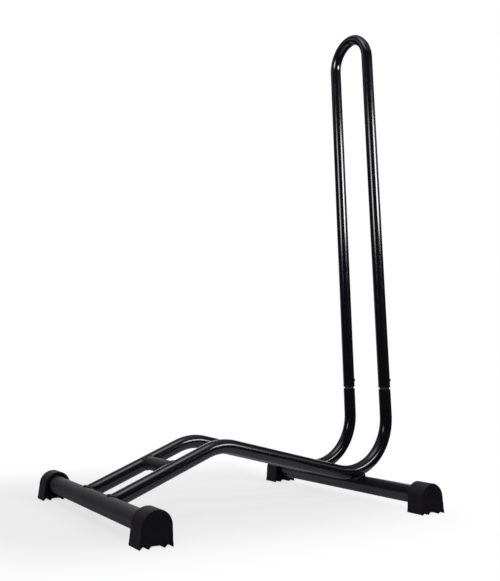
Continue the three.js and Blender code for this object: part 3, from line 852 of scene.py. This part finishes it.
class RACK_OT_brace(bpy.types.Operator):
    """The brace: a short tube cut to both rails."""

    bl_idname = "bike_rack.brace"
    bl_label = "Brace"
    bl_options = {"REGISTER", "UNDO"}

    def execute(self, context):
        settings, lines = rack_of(context)
        tubes = settings.tubes
        half = tubes.rail_offset

        def cope(q):
            """Each end is drawn in to the rail's side: y = s (1 - sqrt(r² - a²) / half), a being the height on it."""
            inset = np.sqrt((lines.rail + SEAT_GAP) ** 2 - q[:, 1] ** 2)
            q = q.copy()
            q[:, 0] *= 1 - inset / half
            return q

        place = along_axis(flat(*lines.brace_axis), Y, lines.slope_up3)
        marks = np.linspace(-half, half, 15)
        piece = add_tube("brace_short_tube", place, marks, lines.brace, lines.brace - tubes.wall, tubes.lip, 64, cope)
        seat(piece, "brace_tube", "rack", paint(settings.finishes, "satin_grey_paint"))
        return {"FINISHED"}


class RACK_OT_hoop(bpy.types.Operator):
    """The hoop: an inverted U with a hole for the button in each leg, flattened outside the arch by bending."""

    bl_idname = "bike_rack.hoop"
    bl_label = "Hoop"
    bl_options = {"REGISTER", "UNDO"}

    def execute(self, context):
        settings, lines = rack_of(context)
        tubes, joint = settings.tubes, settings.joint
        half, low, top = tubes.rail_offset, tubes.joint_open / 2, tubes.hoop_straight + tubes.rail_offset
        # The two bends are a hair tighter than half the hoop's width, which leaves a short straight run between them.
        runs = bent_line([(half, low), (half, top), (-half, top), (-half, low)], [half * 0.9999, half * 0.9999])
        marks = marks_on(runs, STEP, BEND_STEP)
        total, leg = line_length(runs), tubes.hoop_straight - low

        def flatten(q):
            """Outside the arch the skin sinks soon after the bend starts and comes back by 75°, and a low shoulder
            stands before the bend. Both fade from the outermost line by the square of its share."""
            q = q.copy()
            from_end = np.minimum(q[:, 0], total - q[:, 0]) - leg
            outside = np.clip(q[:, 1] / lines.rail, 0, 1) ** 2
            turned = from_end / half
            sunk = smooth_step(-0.05, 0.35, turned) * (1 - smooth_step(0.6, 1.3, turned))
            shoulder = np.exp(-(((from_end + 0.006) / 0.006) ** 2))
            q[:, 1] -= outside * tubes.arch_flattening * (sunk - 0.17 * shoulder)
            return q

        hole = joint.button_diameter / 2 + joint.button_run
        up = joint.button_up - low
        piece = add_tube(
            "hoop_tube", along_hoop(lines, runs), marks, lines.rail, lines.bore, tubes.lip, 64, flatten,
            holes=[(up, hole), (total - up, hole)],
        )
        seat(piece, "hoop", "rack", paint(settings.finishes, "gloss_black_paint"))
        return {"FINISHED"}


class RACK_OT_plug_sleeves(bpy.types.Operator):
    """The steel sleeves that join rails and hoop."""

    bl_idname = "bike_rack.plug_sleeves"
    bl_label = "Plug sleeves"
    bl_options = {"REGISTER", "UNDO"}

    def execute(self, context):
        settings, lines = rack_of(context)
        tubes, joint = settings.tubes, settings.joint
        outer = lines.bore - SEAT_GAP
        marks = np.linspace(-joint.sleeve_down, joint.sleeve_up, 25)
        hole = joint.button_diameter / 2 + joint.button_run
        steel = plain_metal("dull_sleeve_steel", settings.finishes.sleeve_steel, 0.2, (0.06, 1.0, 1.0))
        for side, sign in SIDES.items():
            place = along_axis(lines.leg_point(0.0, 0.0, sign * tubes.rail_offset), lines.up3, Y)
            piece = add_tube(
                f"plug_sleeve_{side}_tube", place, marks, outer, outer - joint.sleeve_wall, 0.0003, 64,
                holes=[(joint.button_up, hole)],
            )
            seat(piece, f"plug_sleeve_{side}", "rack", steel)
        return {"FINISHED"}


def spring_room(lines, joint):
    """Where the spring and the button's collar lie on the button's axis: collar top and back, and the front wall."""
    bore = lines.bore - SEAT_GAP - joint.sleeve_wall
    collar_top = math.sqrt(bore**2 - (joint.collar_diameter / 2) ** 2) - SEAT_GAP
    wall = -math.sqrt(bore**2 - (joint.spring_width / 2) ** 2) + SEAT_GAP
    return collar_top, collar_top - joint.collar_thick, wall


class RACK_OT_snap_buttons(bpy.types.Operator):
    """The snap buttons: a collar, a shank and a domed end, turned round the button's axis."""

    bl_idname = "bike_rack.snap_buttons"
    bl_label = "Snap buttons"
    bl_options = {"REGISTER", "UNDO"}

    def execute(self, context):
        settings, lines = rack_of(context)
        tubes, joint = settings.tubes, settings.joint
        top, back, _ = spring_room(lines, joint)
        shank, collar, small = joint.button_diameter / 2, joint.collar_diameter / 2, 0.00015
        dome = lines.rail + joint.button_standout - joint.button_dome
        # Outline as distance and radius: back face, rounded collar, shank with even steps, elliptic dome.
        corner, a = np.linspace(0, math.pi / 2, 4), np.linspace(0, math.pi / 2, 17)[1:]
        s = np.concatenate([
            [back, back], back + small - small * np.cos(corner), top - small + small * np.sin(corner),
            np.linspace(top, dome, 9), dome + joint.button_dome * np.sin(a),
        ])
        r = np.concatenate([
            [0.0, collar * 0.6], collar - small + small * np.sin(corner), collar - small + small * np.cos(corner),
            np.full(9, shank), shank * np.cos(a),
        ])
        vertices, quads, fans = capped_grid(turned(s[:, None], r[:, None], around(48)))
        brass = plain_metal("button_brass", settings.finishes.button_brass, 0.26, (1.0, 0.12, 0.12))
        for side, sign in SIDES.items():
            place = along_axis(lines.leg_point(joint.button_up, 0.0, sign * tubes.rail_offset), lines.out3, lines.up3)
            piece = add_piece(f"snap_button_{side}_pin", place(vertices), quads, fans, fields={"unrolled": vertices})
            seat(piece, f"snap_button_{side}", f"button_{side}", brass)
        return {"FINISHED"}


class RACK_OT_leaf_springs(bpy.types.Operator):
    """The folded leaf springs behind the buttons: a flat strip with rounded edges carried along a folded line."""

    bl_idname = "bike_rack.leaf_springs"
    bl_label = "Leaf springs"
    bl_options = {"REGISTER", "UNDO"}

    def execute(self, context):
        settings, lines = rack_of(context)
        tubes, joint = settings.tubes, settings.joint
        _, back, wall = spring_room(lines, joint)
        thick, width = joint.spring_thick, joint.spring_width
        near, far = wall + thick / 2, back - SEAT_GAP - thick / 2
        fold, collar = 0.0016, joint.collar_diameter / 2
        # The line lies in the plane of the leg (first) and the button's axis (second), from the button's axis.
        corners = [
            (collar + 0.0015, near), (-joint.spring_drop - fold, near), (-joint.spring_drop - fold, near + 2.4 * fold),
            (-collar - 0.001, far), (collar, far),
        ]
        runs = bent_line(corners, [fold, fold * 0.7, 0.004])
        marks = marks_on(runs, 0.003, math.radians(9))
        p, t = on_line(runs, marks)
        n = np.stack([-t[:, 1], t[:, 0]], -1)
        # Section: a rectangle of width and thickness whose corners are rounded.
        x, y = rounded_square(around(24, 0.5), 6)
        across, over = width / 2 * x, thick / 2 * y
        middle = p[:, None] + over[None, :, None] * n[:, None]
        local = np.stack([middle[..., 0], middle[..., 1], np.broadcast_to(across, middle.shape[:-1])], -1)
        ends = [np.broadcast_to(end.mean(0), (1,) + end.shape) for end in (local[0], local[-1])]
        vertices, quads, fans = capped_grid(np.concatenate([ends[0], local, ends[1]]))
        steel = plain_metal("spring_strip_steel", settings.finishes.spring_steel, 0.3, (0.08, 1.0, 1.0))
        for side, sign in SIDES.items():
            origin = lines.leg_point(joint.button_up, 0.0, sign * tubes.rail_offset)
            placed = origin + vertices[:, :1] * lines.up3 + vertices[:, 1:2] * lines.out3 + vertices[:, 2:] * Y
            piece = add_piece(f"leaf_spring_{side}_strip", placed, quads, fans, fields={"unrolled": vertices})
            seat(piece, f"leaf_spring_{side}", "rack", steel)
            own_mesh(piece)
        return {"FINISHED"}


def cap_outline(caps, axis_height):
    """Outline of a foot cap across its tube, from the tube's axis: points, outward normals and edge rounding.
    Straight lines draw the ridges and sides, half an ellipse the arch. Averaging over 0.8 mm each way softens every
    corner, and the tips are then lowered to the floor again."""
    fine_steps, kept_steps, soft = 3000, 264, 0.0008
    foot, shoulder, low = caps.foot_width / 2, caps.shoulder_width / 2, -axis_height
    tip, flank, inner, deep = caps.ridge_tip / 2, caps.ridge_flank, caps.ridge_inner_at, low + caps.ridge_depth
    right = np.array([
        (0.0, deep), (inner - tip - flank, deep), (inner - tip, low), (inner + tip, low), (inner + tip + flank, deep),
        (foot - 2 * tip - flank, deep), (foot - 2 * tip, low), (foot, low),
    ])
    a = np.linspace(0, math.pi, 181)
    arch = np.stack([shoulder * np.cos(a), caps.top_above_axis * np.sin(a)], -1)
    closed = np.concatenate([right, arch, right[::-1] * [-1, 1]])
    walked = np.concatenate([[0.0], np.cumsum(np.linalg.norm(np.diff(closed, axis=0), axis=1))])
    fine = np.linspace(0, walked[-1], fine_steps, endpoint=False)
    dense = np.stack([np.interp(fine, walked, closed[:, k]) for k in range(2)], -1)
    reach = int(soft / (walked[-1] / fine_steps))
    window = np.hanning(2 * reach + 3)[1:-1]
    spectrum = np.fft.fft(np.roll(np.pad(window / window.sum(), (0, fine_steps - len(window))), -reach))
    line = np.real(np.fft.ifft(np.fft.fft(dense, axis=0) * spectrum[:, None], axis=0))
    line[:, 1] -= (line[:, 1].min() - low) * (1 - smooth_step(low + 0.003, low + 0.010, line[:, 1]))
    # Close steps round the ridges, steps three times as wide on the arch.
    spent = np.concatenate([[0.0], np.cumsum(np.where(line[:, 1] < low + 0.005, 1.0, 0.34))])
    even = np.linspace(0, spent[-1], kept_steps, endpoint=False)
    kept = np.interp(even, spent, np.arange(fine_steps + 1)).astype(int) % fine_steps
    forward = unit(np.roll(line, -3, axis=0) - np.roll(line, 3, axis=0))
    normals = np.stack([forward[:, 1], -forward[:, 0]], -1)
    rounding = caps.edge_rounding * (0.3 + 0.7 * smooth_step(low + 0.002, low + 0.007, line[:, 1]))
    return line[kept], normals[kept], rounding[kept]


class RACK_OT_foot_caps(bpy.types.Operator):
    """The four foot caps: moulded blocks with an arch, ridges, a mouth for the tube and a shallow dish outside."""

    bl_idname = "bike_rack.foot_caps"
    bl_label = "Foot caps"
    bl_options = {"REGISTER", "UNDO"}

    def execute(self, context):
        settings, lines = rack_of(context)
        caps = settings.caps
        outline, normals, rounding = cap_outline(caps, lines.front[1])
        angle = np.arctan2(outline[:, 1], outline[:, 0])
        circle = np.stack([np.cos(angle), np.sin(angle)], -1)
        bore, mouth, dish = lines.bar + SEAT_GAP, caps.mouth_diameter / 2, caps.dish_diameter / 2
        outer, inner = caps.half_width, caps.half_width - caps.length
        bottom, floor, small = outer - caps.end_wall - caps.dish_depth, inner + caps.mouth_depth, 0.0003
        quarter = np.linspace(0, math.pi / 2, 6)
        # Each row is (depth y, radius of the circle, share of the outline, inset of the outline in roundings, depth in
        # roundings). A row's points are share · (outline - inset · rounding · normal) + (1 - share) · radius · circle.
        # Circles: the bore's end and wall, the step to the mouth, the mouth's rim.
        rings = [(bottom, 0), (bottom, bore * 0.5), (bottom, bore - small), (bottom - small, bore)]
        rings += [(y, bore) for y in np.linspace(bottom - 2 * small, floor + 2 * small, 8)]
        rings += [(floor + small * (1 - math.sin(a)), bore + small * (1 - math.cos(a))) for a in quarter[::2]]
        rings += [(floor, mouth - 2 * small), (floor, mouth - small), (floor - small, mouth)]
        rings += [(inner + small * (2 - math.sin(a)), mouth + small * (1 - math.cos(a))) for a in quarter[::2]]
        rings += [(inner, mouth + 2.2 * small), (inner, mouth + 4 * small)]
        rows = [(y, r, 0, 0, 0) for y, r in rings]
        # Outlines: the inner face, its rounded edge, the arched side, the other edge and the outer face.
        rows += [(inner, mouth + 4 * small, 0.5, 1.6, 0), (inner, 0, 1, 1.35, 0)]
        rows += [(inner, 0, 1, 1 - math.sin(a), 1 - math.cos(a)) for a in quarter]
        rows += [(y, 0, 1, 0, 0) for y in np.linspace(inner + 0.0016, outer - 0.0016, 12)]
        rows += [(outer, 0, 1, 1 - math.cos(a), -(1 - math.sin(a))) for a in quarter]
        rows += [(outer, 0, 1, 1.35, 0), (outer, dish + 0.0012, 0.5, 1.6, 0), (outer, dish + 0.0012, 0, 0, 0)]
        # The dish sinks by depth · (1 - (radius / dish)²)².
        rows += [(outer - caps.dish_depth * (1 - k * k) ** 2, dish * k, 0, 0, 0) for k in np.linspace(1.0, 0.08, 16)]
        rows.append((outer - caps.dish_depth, 0, 0, 0, 0))
        y, radius, part, inset, sunk = (np.array(column, float)[:, None] for column in zip(*rows))
        place = part[..., None] * (outline - inset[..., None] * (rounding[:, None] * normals))
        place = place + (1 - part[..., None]) * radius[..., None] * circle
        depth = y + sunk * rounding
        # rim marks the rounded edges. band marks the arched side, which the cap plastic paints paler than the flat
        # ends: painted light for the light that falls on the sides.
        fields = {
            "rim": np.clip(1 - abs(inset - 0.4) * 1.6, 0, 1) * part * (abs(sunk) > 0),
            "band": np.clip(1 - inset, 0, 1) * (part == 1),
        }
        fields = {key: np.append(np.broadcast_to(row, depth.shape)[1:-1], [0.0, 0.0]) for key, row in fields.items()}
        plastic = cap_plastic(settings.finishes)
        for end, axis in (("front", lines.front), ("rear", lines.rear)):
            for side, sign in SIDES.items():
                grid = np.stack([axis[0] + place[..., 0], sign * depth, axis[1] + place[..., 1]], -1)
                vertices, quads, fans = capped_grid(grid)
                name = f"foot_cap_{end}_{side}"
                piece = add_piece(f"{name}_moulding", vertices, quads, fans, fields=fields, crease=55.0)
                seat(piece, name, "rack", plastic)
        return {"FINISHED"}


def bead_surface(points, guide, radius, pitch, ripple, phase, sides=20):
    """A weld bead along a closed loop of points: a round section of radius r (1 - ripple + 1.5 ripple |sin|) that
    swells once every pitch, with a slow wander of a few hundredths. The swells lean like a row of pushed coins."""
    before, after = np.roll(points, 1, axis=0), np.roll(points, -1, axis=0)
    forward, step = unit(after - before), np.linalg.norm(after - points, axis=1)
    walked, total = np.concatenate([[0.0], np.cumsum(step)[:-1]]), step.sum()
    turn = 2 * math.pi * walked / total
    side = unit(guide - (guide * forward).sum(-1, keepdims=True) * forward)
    other, v = np.cross(forward, side), around(sides)
    wave = abs(np.sin(max(6, round(total / pitch)) * turn[:, None] / 2 + 0.5 * np.cos(v) + phase))
    wander = 0.05 * np.sin(3 * turn + 1.3 + phase) + 0.04 * np.sin(7 * turn + 0.4 - phase)
    r = radius * (1 - ripple + 1.5 * ripple * wave + wander[:, None])
    unrolled = turned(walked[:, None], r, v)
    surface = points[:, None] + unrolled[..., 1:2] * side[:, None] + unrolled[..., 2:] * other[:, None]
    return surface.reshape(-1, 3), grid_faces(len(points), sides), unrolled.reshape(-1, 3)


class RACK_OT_weld_beads(bpy.types.Operator):
    """The weld beads where rails and brace meet the tubes."""

    bl_idname = "bike_rack.weld_beads"
    bl_label = "Weld beads"
    bl_options = {"REGISTER", "UNDO"}

    def execute(self, context):
        settings, lines = rack_of(context)
        tubes, welds = settings.tubes, settings.welds
        a = around(240)
        finish = paint(settings.finishes, "black_weld_paint")
        touch = lines.rear_seat() - lines.rear
        reach = np.linalg.norm(touch)
        seat_up = touch / reach
        up3, along3 = flat(*seat_up), flat(seat_up[1], -seat_up[0])
        for number, (side, sign) in enumerate(SIDES.items()):
            y = sign * tubes.rail_offset
            # Front: the saddle curve of the rail on the front tube.
            high = lines.offset + lines.rail * np.cos(a)
            out = np.sqrt((lines.bar + SEAT_GAP) ** 2 - high**2)
            front = flat(*lines.front) + high[:, None] * lines.slope_up3 + out[:, None] * lines.slope3
            front = front + (y + lines.rail * np.sin(a))[:, None] * Y
            # Brace: the saddle curve of the brace on the rail's inner side.
            rise = lines.brace * np.cos(a)
            inset = np.sqrt((lines.rail + SEAT_GAP) ** 2 - rise**2)
            brace = flat(*lines.brace_axis) + rise[:, None] * lines.slope_up3
            brace = brace + (lines.brace * np.sin(a))[:, None] * lines.slope3
            brace = brace + (sign * (tubes.rail_offset - inset))[:, None] * Y
            # Rear: a ring round the spot where the rail rests, midway between the two skins.
            dx, dy = welds.rear_reach * np.cos(a), welds.rear_reach * np.sin(a)
            under = np.sqrt(lines.bar**2 - dx**2)
            over = reach - np.sqrt(lines.rail**2 - dy**2)
            rear = flat(*lines.rear) + dx[:, None] * along3 + ((under + over) / 2)[:, None] * up3
            rear = rear + (y + dy)[:, None] * Y
            for name, points, guide, radius in (
                (f"weld_front_{side}", front, lines.slope3, welds.front_radius),
                (f"weld_brace_{side}", brace, Y, welds.brace_radius),
                (f"weld_rear_{side}", rear, up3, welds.rear_radius),
            ):
                phase = 0.7 * number + len(name)
                vertices, faces, unrolled = bead_surface(points, guide, radius, welds.ripple_pitch, welds.ripple, phase)
                fields = {"unrolled": unrolled, "rim": np.zeros(len(vertices))}
                piece = add_piece(f"{name}_bead", vertices, faces, fields=fields, crease=70.0)
                seat(piece, name, "rack", finish)
        return {"FINISHED"}


# ---- stage ----------------------------------------------------------------------------------------------------------
# Name, place of the middle, point that it faces, width, height, brightness seen straight on in a mirror, how much of
# each half fades towards the edge, angle to which a grid narrows its light, and colour.
LAMPS = (
    ("left_softbox", (-1.31, -0.43, 0.905), (0.1, 0.0, 0.905), 0.72, 0.60, 15.5, 0.35, 59, (1.0, 0.99, 0.98)),
    ("right_softbox", (0.74, -1.33, 0.925), (0.1, 0.0, 0.925), 0.82, 0.50, 31.0, 0.3, 84, (0.975, 0.99, 1.0)),
    ("overhead_panel", (-0.25, -0.30, 1.86), (0.0, -0.1, 0.0), 1.4, 1.3, 2.7, 0.9, 180, (0.98, 0.98, 1.0)),
    ("right_panel", (1.2, -0.75, 0.95), (0.0, 0.0, 0.2), 0.9, 0.8, 0.9, 1.0, 180, (0.98, 0.98, 1.0)),
    ("left_rear_panel", (-1.1, 1.1, 1.6), (0.0, 0.0, 0.6), 1.3, 1.1, 0.8, 1.0, 180, (0.96, 0.96, 1.0)),
    ("white_card", (0.2, 1.5, 0.35), (0.1, 0.0, 0.3), 1.9, 0.7, 0.5, 0.4, 180, (1.0, 0.99, 0.98)),
)
# The floor is a sheet of pale card: half sizes, middle, and the power of the curve that rounds its corners. The rack's
# own footprint has the half sizes that follow.
FLOOR_HALF, FLOOR_MIDDLE, FLOOR_POWER = (0.42, 0.68), (-0.11, 0.33), 5.0
FOOTPRINT_HALF = (0.34, 0.29)
# The camera looks along yaw (from +Y towards +X) and pitch, turned a little round its own axis, with its frame moved
# down by a share of its width.
CAMERA_PLACE, CAMERA_TURNS, CAMERA_SHIFT = (-0.59983, -0.99628, 0.18559), (31.249, 13.813, 0.388), -0.1802
AWAY, BEHIND = (0.52, 0.85, 0.0), (0.46, 0.84, 0.29)  # level direction away from the camera, and the camera's own
WHITE = (1.0, 1.0, 1.0, 1.0)


def ray_share(tree, *kinds):
    """1 for the named kinds of ray and 0 for the rest."""
    path = wire(tree, "LightPath").outputs
    total = path[kinds[0]]
    for kind in kinds[1:]:
        total = maths(tree, "ADD", total, path[kind], clamp=True)
    return total


class RACK_OT_stage(bpy.types.Operator):
    """The plain floor, the room's soft light, the lamps and the camera."""

    bl_idname = "bike_rack.stage"
    bl_label = "Stage"
    bl_options = {"REGISTER", "UNDO"}

    def execute(self, context):
        stage = context.scene.bike_rack.stage
        self.lay_floor(stage)
        self.light_room(stage)
        self.hang_lamps(stage)
        self.set_camera(stage)
        context.scene.view_settings.view_transform = "Standard"
        return {"FINISHED"}

    def lay_floor(self, stage):
        """The floor sheet: rings of the curve |x / a|^p + |y / b|^p = k^p with k from 0 to 1."""
        rings, sides = 40, 96
        k = (np.arange(1, rings + 1) / rings)[:, None]
        x, y = rounded_square(around(sides), FLOOR_POWER)
        grid = np.stack([k * x, k * y, 0 * k * x], -1) * [*FLOOR_HALF, 0.0] + [*FLOOR_MIDDLE, 0.0]
        keep = np.arange(rings) < rings - 1
        quads = grid_faces(rings, sides, np.repeat(keep[:, None], sides, axis=1))
        this = np.arange(sides)
        fan = np.stack([this, (this + 1) % sides, np.full(sides, rings * sides)], -1)
        floor = add_piece("floor", np.append(grid.reshape(-1, 3), [[*FLOOR_MIDDLE, 0.0]], axis=0), quads, fan)
        floor.data.materials.append(new_finish("pale_floor", lambda t, s: self.floor_finish(t, s, stage)))

    def floor_finish(self, tree, shader, stage):
        """Plain pale card with the faintest unevenness. Towards its rim it turns to plain white for the camera, so
        that floor and background meet without a line, and behind the rack also for reflections. It keeps the rack's
        shadow."""
        place = object_place(tree)
        uneven = noise(tree, place, 9.0, 3.0)
        colour = stage.floor_colour
        tone = mixed(tree, uneven, rgba(colour), rgba(colour, 0.985))
        put(tree, shader, base_color=tone, roughness=0.9, specular_ior_level=0.1)
        rim = ramp(tree, self.reach(tree, place, FLOOR_MIDDLE, FLOOR_HALF), 0.62, 0.99)
        away = ramp(tree, self.reach(tree, place, (0.0, 0.0), FOOTPRINT_HALF), 0.9, 2.1)
        beyond = vector_maths(tree, "DOT_PRODUCT", place, AWAY, output="Value")
        faded = maths(tree, "MAXIMUM", rim, away)
        mirrored = maths(tree, "MULTIPLY", ray_share(tree, "Is Glossy Ray", "Is Transmission Ray"), faded)
        mirrored = maths(tree, "MULTIPLY", mirrored, ramp(tree, beyond, 0.3, 0.8))
        direct = maths(tree, "MULTIPLY", ray_share(tree, "Is Camera Ray"), maths(tree, "MULTIPLY_ADD", faded, 0.3, 0.7))
        white = maths(tree, "ADD", mirrored, direct, clamp=True)
        glow = wire(tree, "Emission", {"Color": WHITE, "Strength": 1.0})
        both = wire(tree, "MixShader", {0: white, 1: shader.outputs[0], 2: glow.outputs[0]})
        tree.links.new(both.outputs[0], tree.nodes["Material Output"].inputs["Surface"])

    def reach(self, tree, place, middle, half):
        """(|x / a|^p + |y / b|^p)^(1 / p) from a middle: 1 on the curve with half sizes a and b."""
        off = vector_maths(tree, "DIVIDE", vector_maths(tree, "SUBTRACT", place, (*middle, 0.0)), (*half, 1.0))
        off = axes(tree, vector_maths(tree, "ABSOLUTE", off))
        total = maths(tree, "ADD", *(maths(tree, "POWER", off[axis], FLOOR_POWER) for axis in "XY"))
        return maths(tree, "POWER", total, 1 / FLOOR_POWER)

    def light_room(self, stage):
        """A dim room that fills the shadows. The camera sees it as plain white, and so do reflections that look at the
        backdrop behind the rack, a patch of sky round the camera's direction; all round, they see the dark room."""
        world = bpy.data.worlds.new("room")
        bpy.context.scene.world = world
        world.use_nodes = True
        tree = world.node_tree
        fill = tree.nodes["Background"]
        looking = wire(tree, "TexCoord").outputs["Generated"]
        mirrored = ray_share(tree, "Is Glossy Ray", "Is Transmission Ray")
        level = maths(tree, "MULTIPLY_ADD", mirrored, stage.mirror_level - stage.room_level, stage.room_level)
        fill.inputs["Color"].default_value = rgba((0.90, 0.87, 1.0))
        tree.links.new(level, fill.inputs["Strength"])
        white = wire(tree, "Background", {"Color": WHITE, "Strength": 1.0})
        backdrop = ramp(tree, vector_maths(tree, "DOT_PRODUCT", looking, BEHIND, output="Value"), 0.90, 0.96)
        ceiling = maths(tree, "MULTIPLY", ramp(tree, axes(tree, looking)["Z"], 0.6, 0.95), 0.3)
        backdrop = maths(tree, "MAXIMUM", backdrop, ceiling)
        seen = maths(tree, "MULTIPLY_ADD", mirrored, backdrop, ray_share(tree, "Is Camera Ray"), clamp=True)
        both = wire(tree, "MixShader", {0: seen, 1: fill.outputs[0], 2: white.outputs[0]})
        tree.links.new(both.outputs[0], tree.nodes["World Output"].inputs["Surface"])

    def hang_lamps(self, stage):
        """Softboxes and panels round the rack."""
        for name, place, faces, width, height, brightness, fade, grid, colour in LAMPS:
            data = bpy.data.lights.new(name, "AREA")
            data.shape, data.size, data.size_y = "RECTANGLE", width, height
            data.energy, data.color = math.pi * width * height * brightness * stage.lamp_level, colour
            data.spread = math.radians(grid)
            if grid < 180:
                # A grid dims the light by the tangent of the angle and keeps the power, so it is brighter straight on.
                data.energy *= 1 - math.radians(grid / 2) / math.tan(math.radians(grid / 2))
            data.use_nodes = True
            tree = data.node_tree
            spot = wire(tree, "NewGeometry").outputs["Parametric"]
            spot = vector_maths(tree, "MULTIPLY_ADD", spot, (2.0, 2.0, 0.0), (-1.0, -1.0, 0.0))
            spot = axes(tree, vector_maths(tree, "ABSOLUTE", spot))
            edges = [ramp(tree, spot[axis], 1.0 - fade, 1.0, 1.0, 0.0) for axis in "XY"]
            tree.links.new(maths(tree, "MULTIPLY", *edges), tree.nodes["Emission"].inputs["Strength"])
            lamp = linked(name, data)
            lamp.location = place
            lamp.visible_camera = False
            lamp.rotation_euler = (Vector(faces) - lamp.location).to_track_quat("-Z", "Y").to_euler()

    def set_camera(self, stage):
        """The photographed view: low in front of the rack, looking up a little, with the frame shifted down."""
        yaw, pitch, roll = (math.radians(turn) for turn in CAMERA_TURNS)
        ahead = Vector((math.sin(yaw) * math.cos(pitch), math.cos(yaw) * math.cos(pitch), math.sin(pitch)))
        right = ahead.cross(Vector((0, 0, 1))).normalized()
        above = right.cross(ahead)
        across = right * math.cos(roll) + above * math.sin(roll)
        upward = above * math.cos(roll) - right * math.sin(roll)
        data = bpy.data.cameras.new("camera")
        data.sensor_fit, data.sensor_width, data.lens = "HORIZONTAL", 36.0, stage.focal_length
        data.shift_y = CAMERA_SHIFT
        data.clip_start, data.clip_end = 0.01, 50.0
        camera = linked("camera", data)
        pose = Matrix((across, upward, -ahead)).transposed().to_4x4()
        camera.matrix_world = Matrix.Translation(CAMERA_PLACE) @ pose
        bpy.context.scene.camera = camera


class RACK_PT_sidebar(bpy.types.Panel):
    """Lists the settings and the steps."""

    bl_idname = "RACK_PT_sidebar"
    bl_label = "Floor bike rack"
    bl_space_type = "VIEW_3D"
    bl_region_type = "UI"
    bl_category = "Bike rack"

    def draw(self, context):
        settings = context.scene.bike_rack
        for part in RackSettings.__annotations__:
            group, box = getattr(settings, part), self.layout.box()
            box.label(text=part.capitalize())
            for key in group.__annotations__:
                box.prop(group, key)
        for step in STEPS:
            self.layout.operator(step.bl_idname)


GROUPS = (RackTubes, RackCaps, RackJoint, RackWelds, RackFinishes, RackStage, RackSettings)
STEPS = (
    RACK_OT_stage, RACK_OT_cross_tubes, RACK_OT_rails, RACK_OT_brace, RACK_OT_hoop, RACK_OT_plug_sleeves,
    RACK_OT_snap_buttons, RACK_OT_leaf_springs, RACK_OT_foot_caps, RACK_OT_weld_beads,
)


def register():
    """Registers the settings, the steps and the panel."""
    for made in (*GROUPS, *STEPS, RACK_PT_sidebar):
        bpy.utils.register_class(made)
    bpy.types.Scene.bike_rack = PointerProperty(type=RackSettings)


def unregister():
    """Takes them out again."""
    del bpy.types.Scene.bike_rack
    for made in reversed((*GROUPS, *STEPS, RACK_PT_sidebar)):
        bpy.utils.unregister_class(made)


def main():
    """Builds the whole rack and its stage."""
    register()
    for step in STEPS:
        family, name = step.bl_idname.split(".")
        getattr(getattr(bpy.ops, family), name)()


if __name__ == "__main__":
    main()
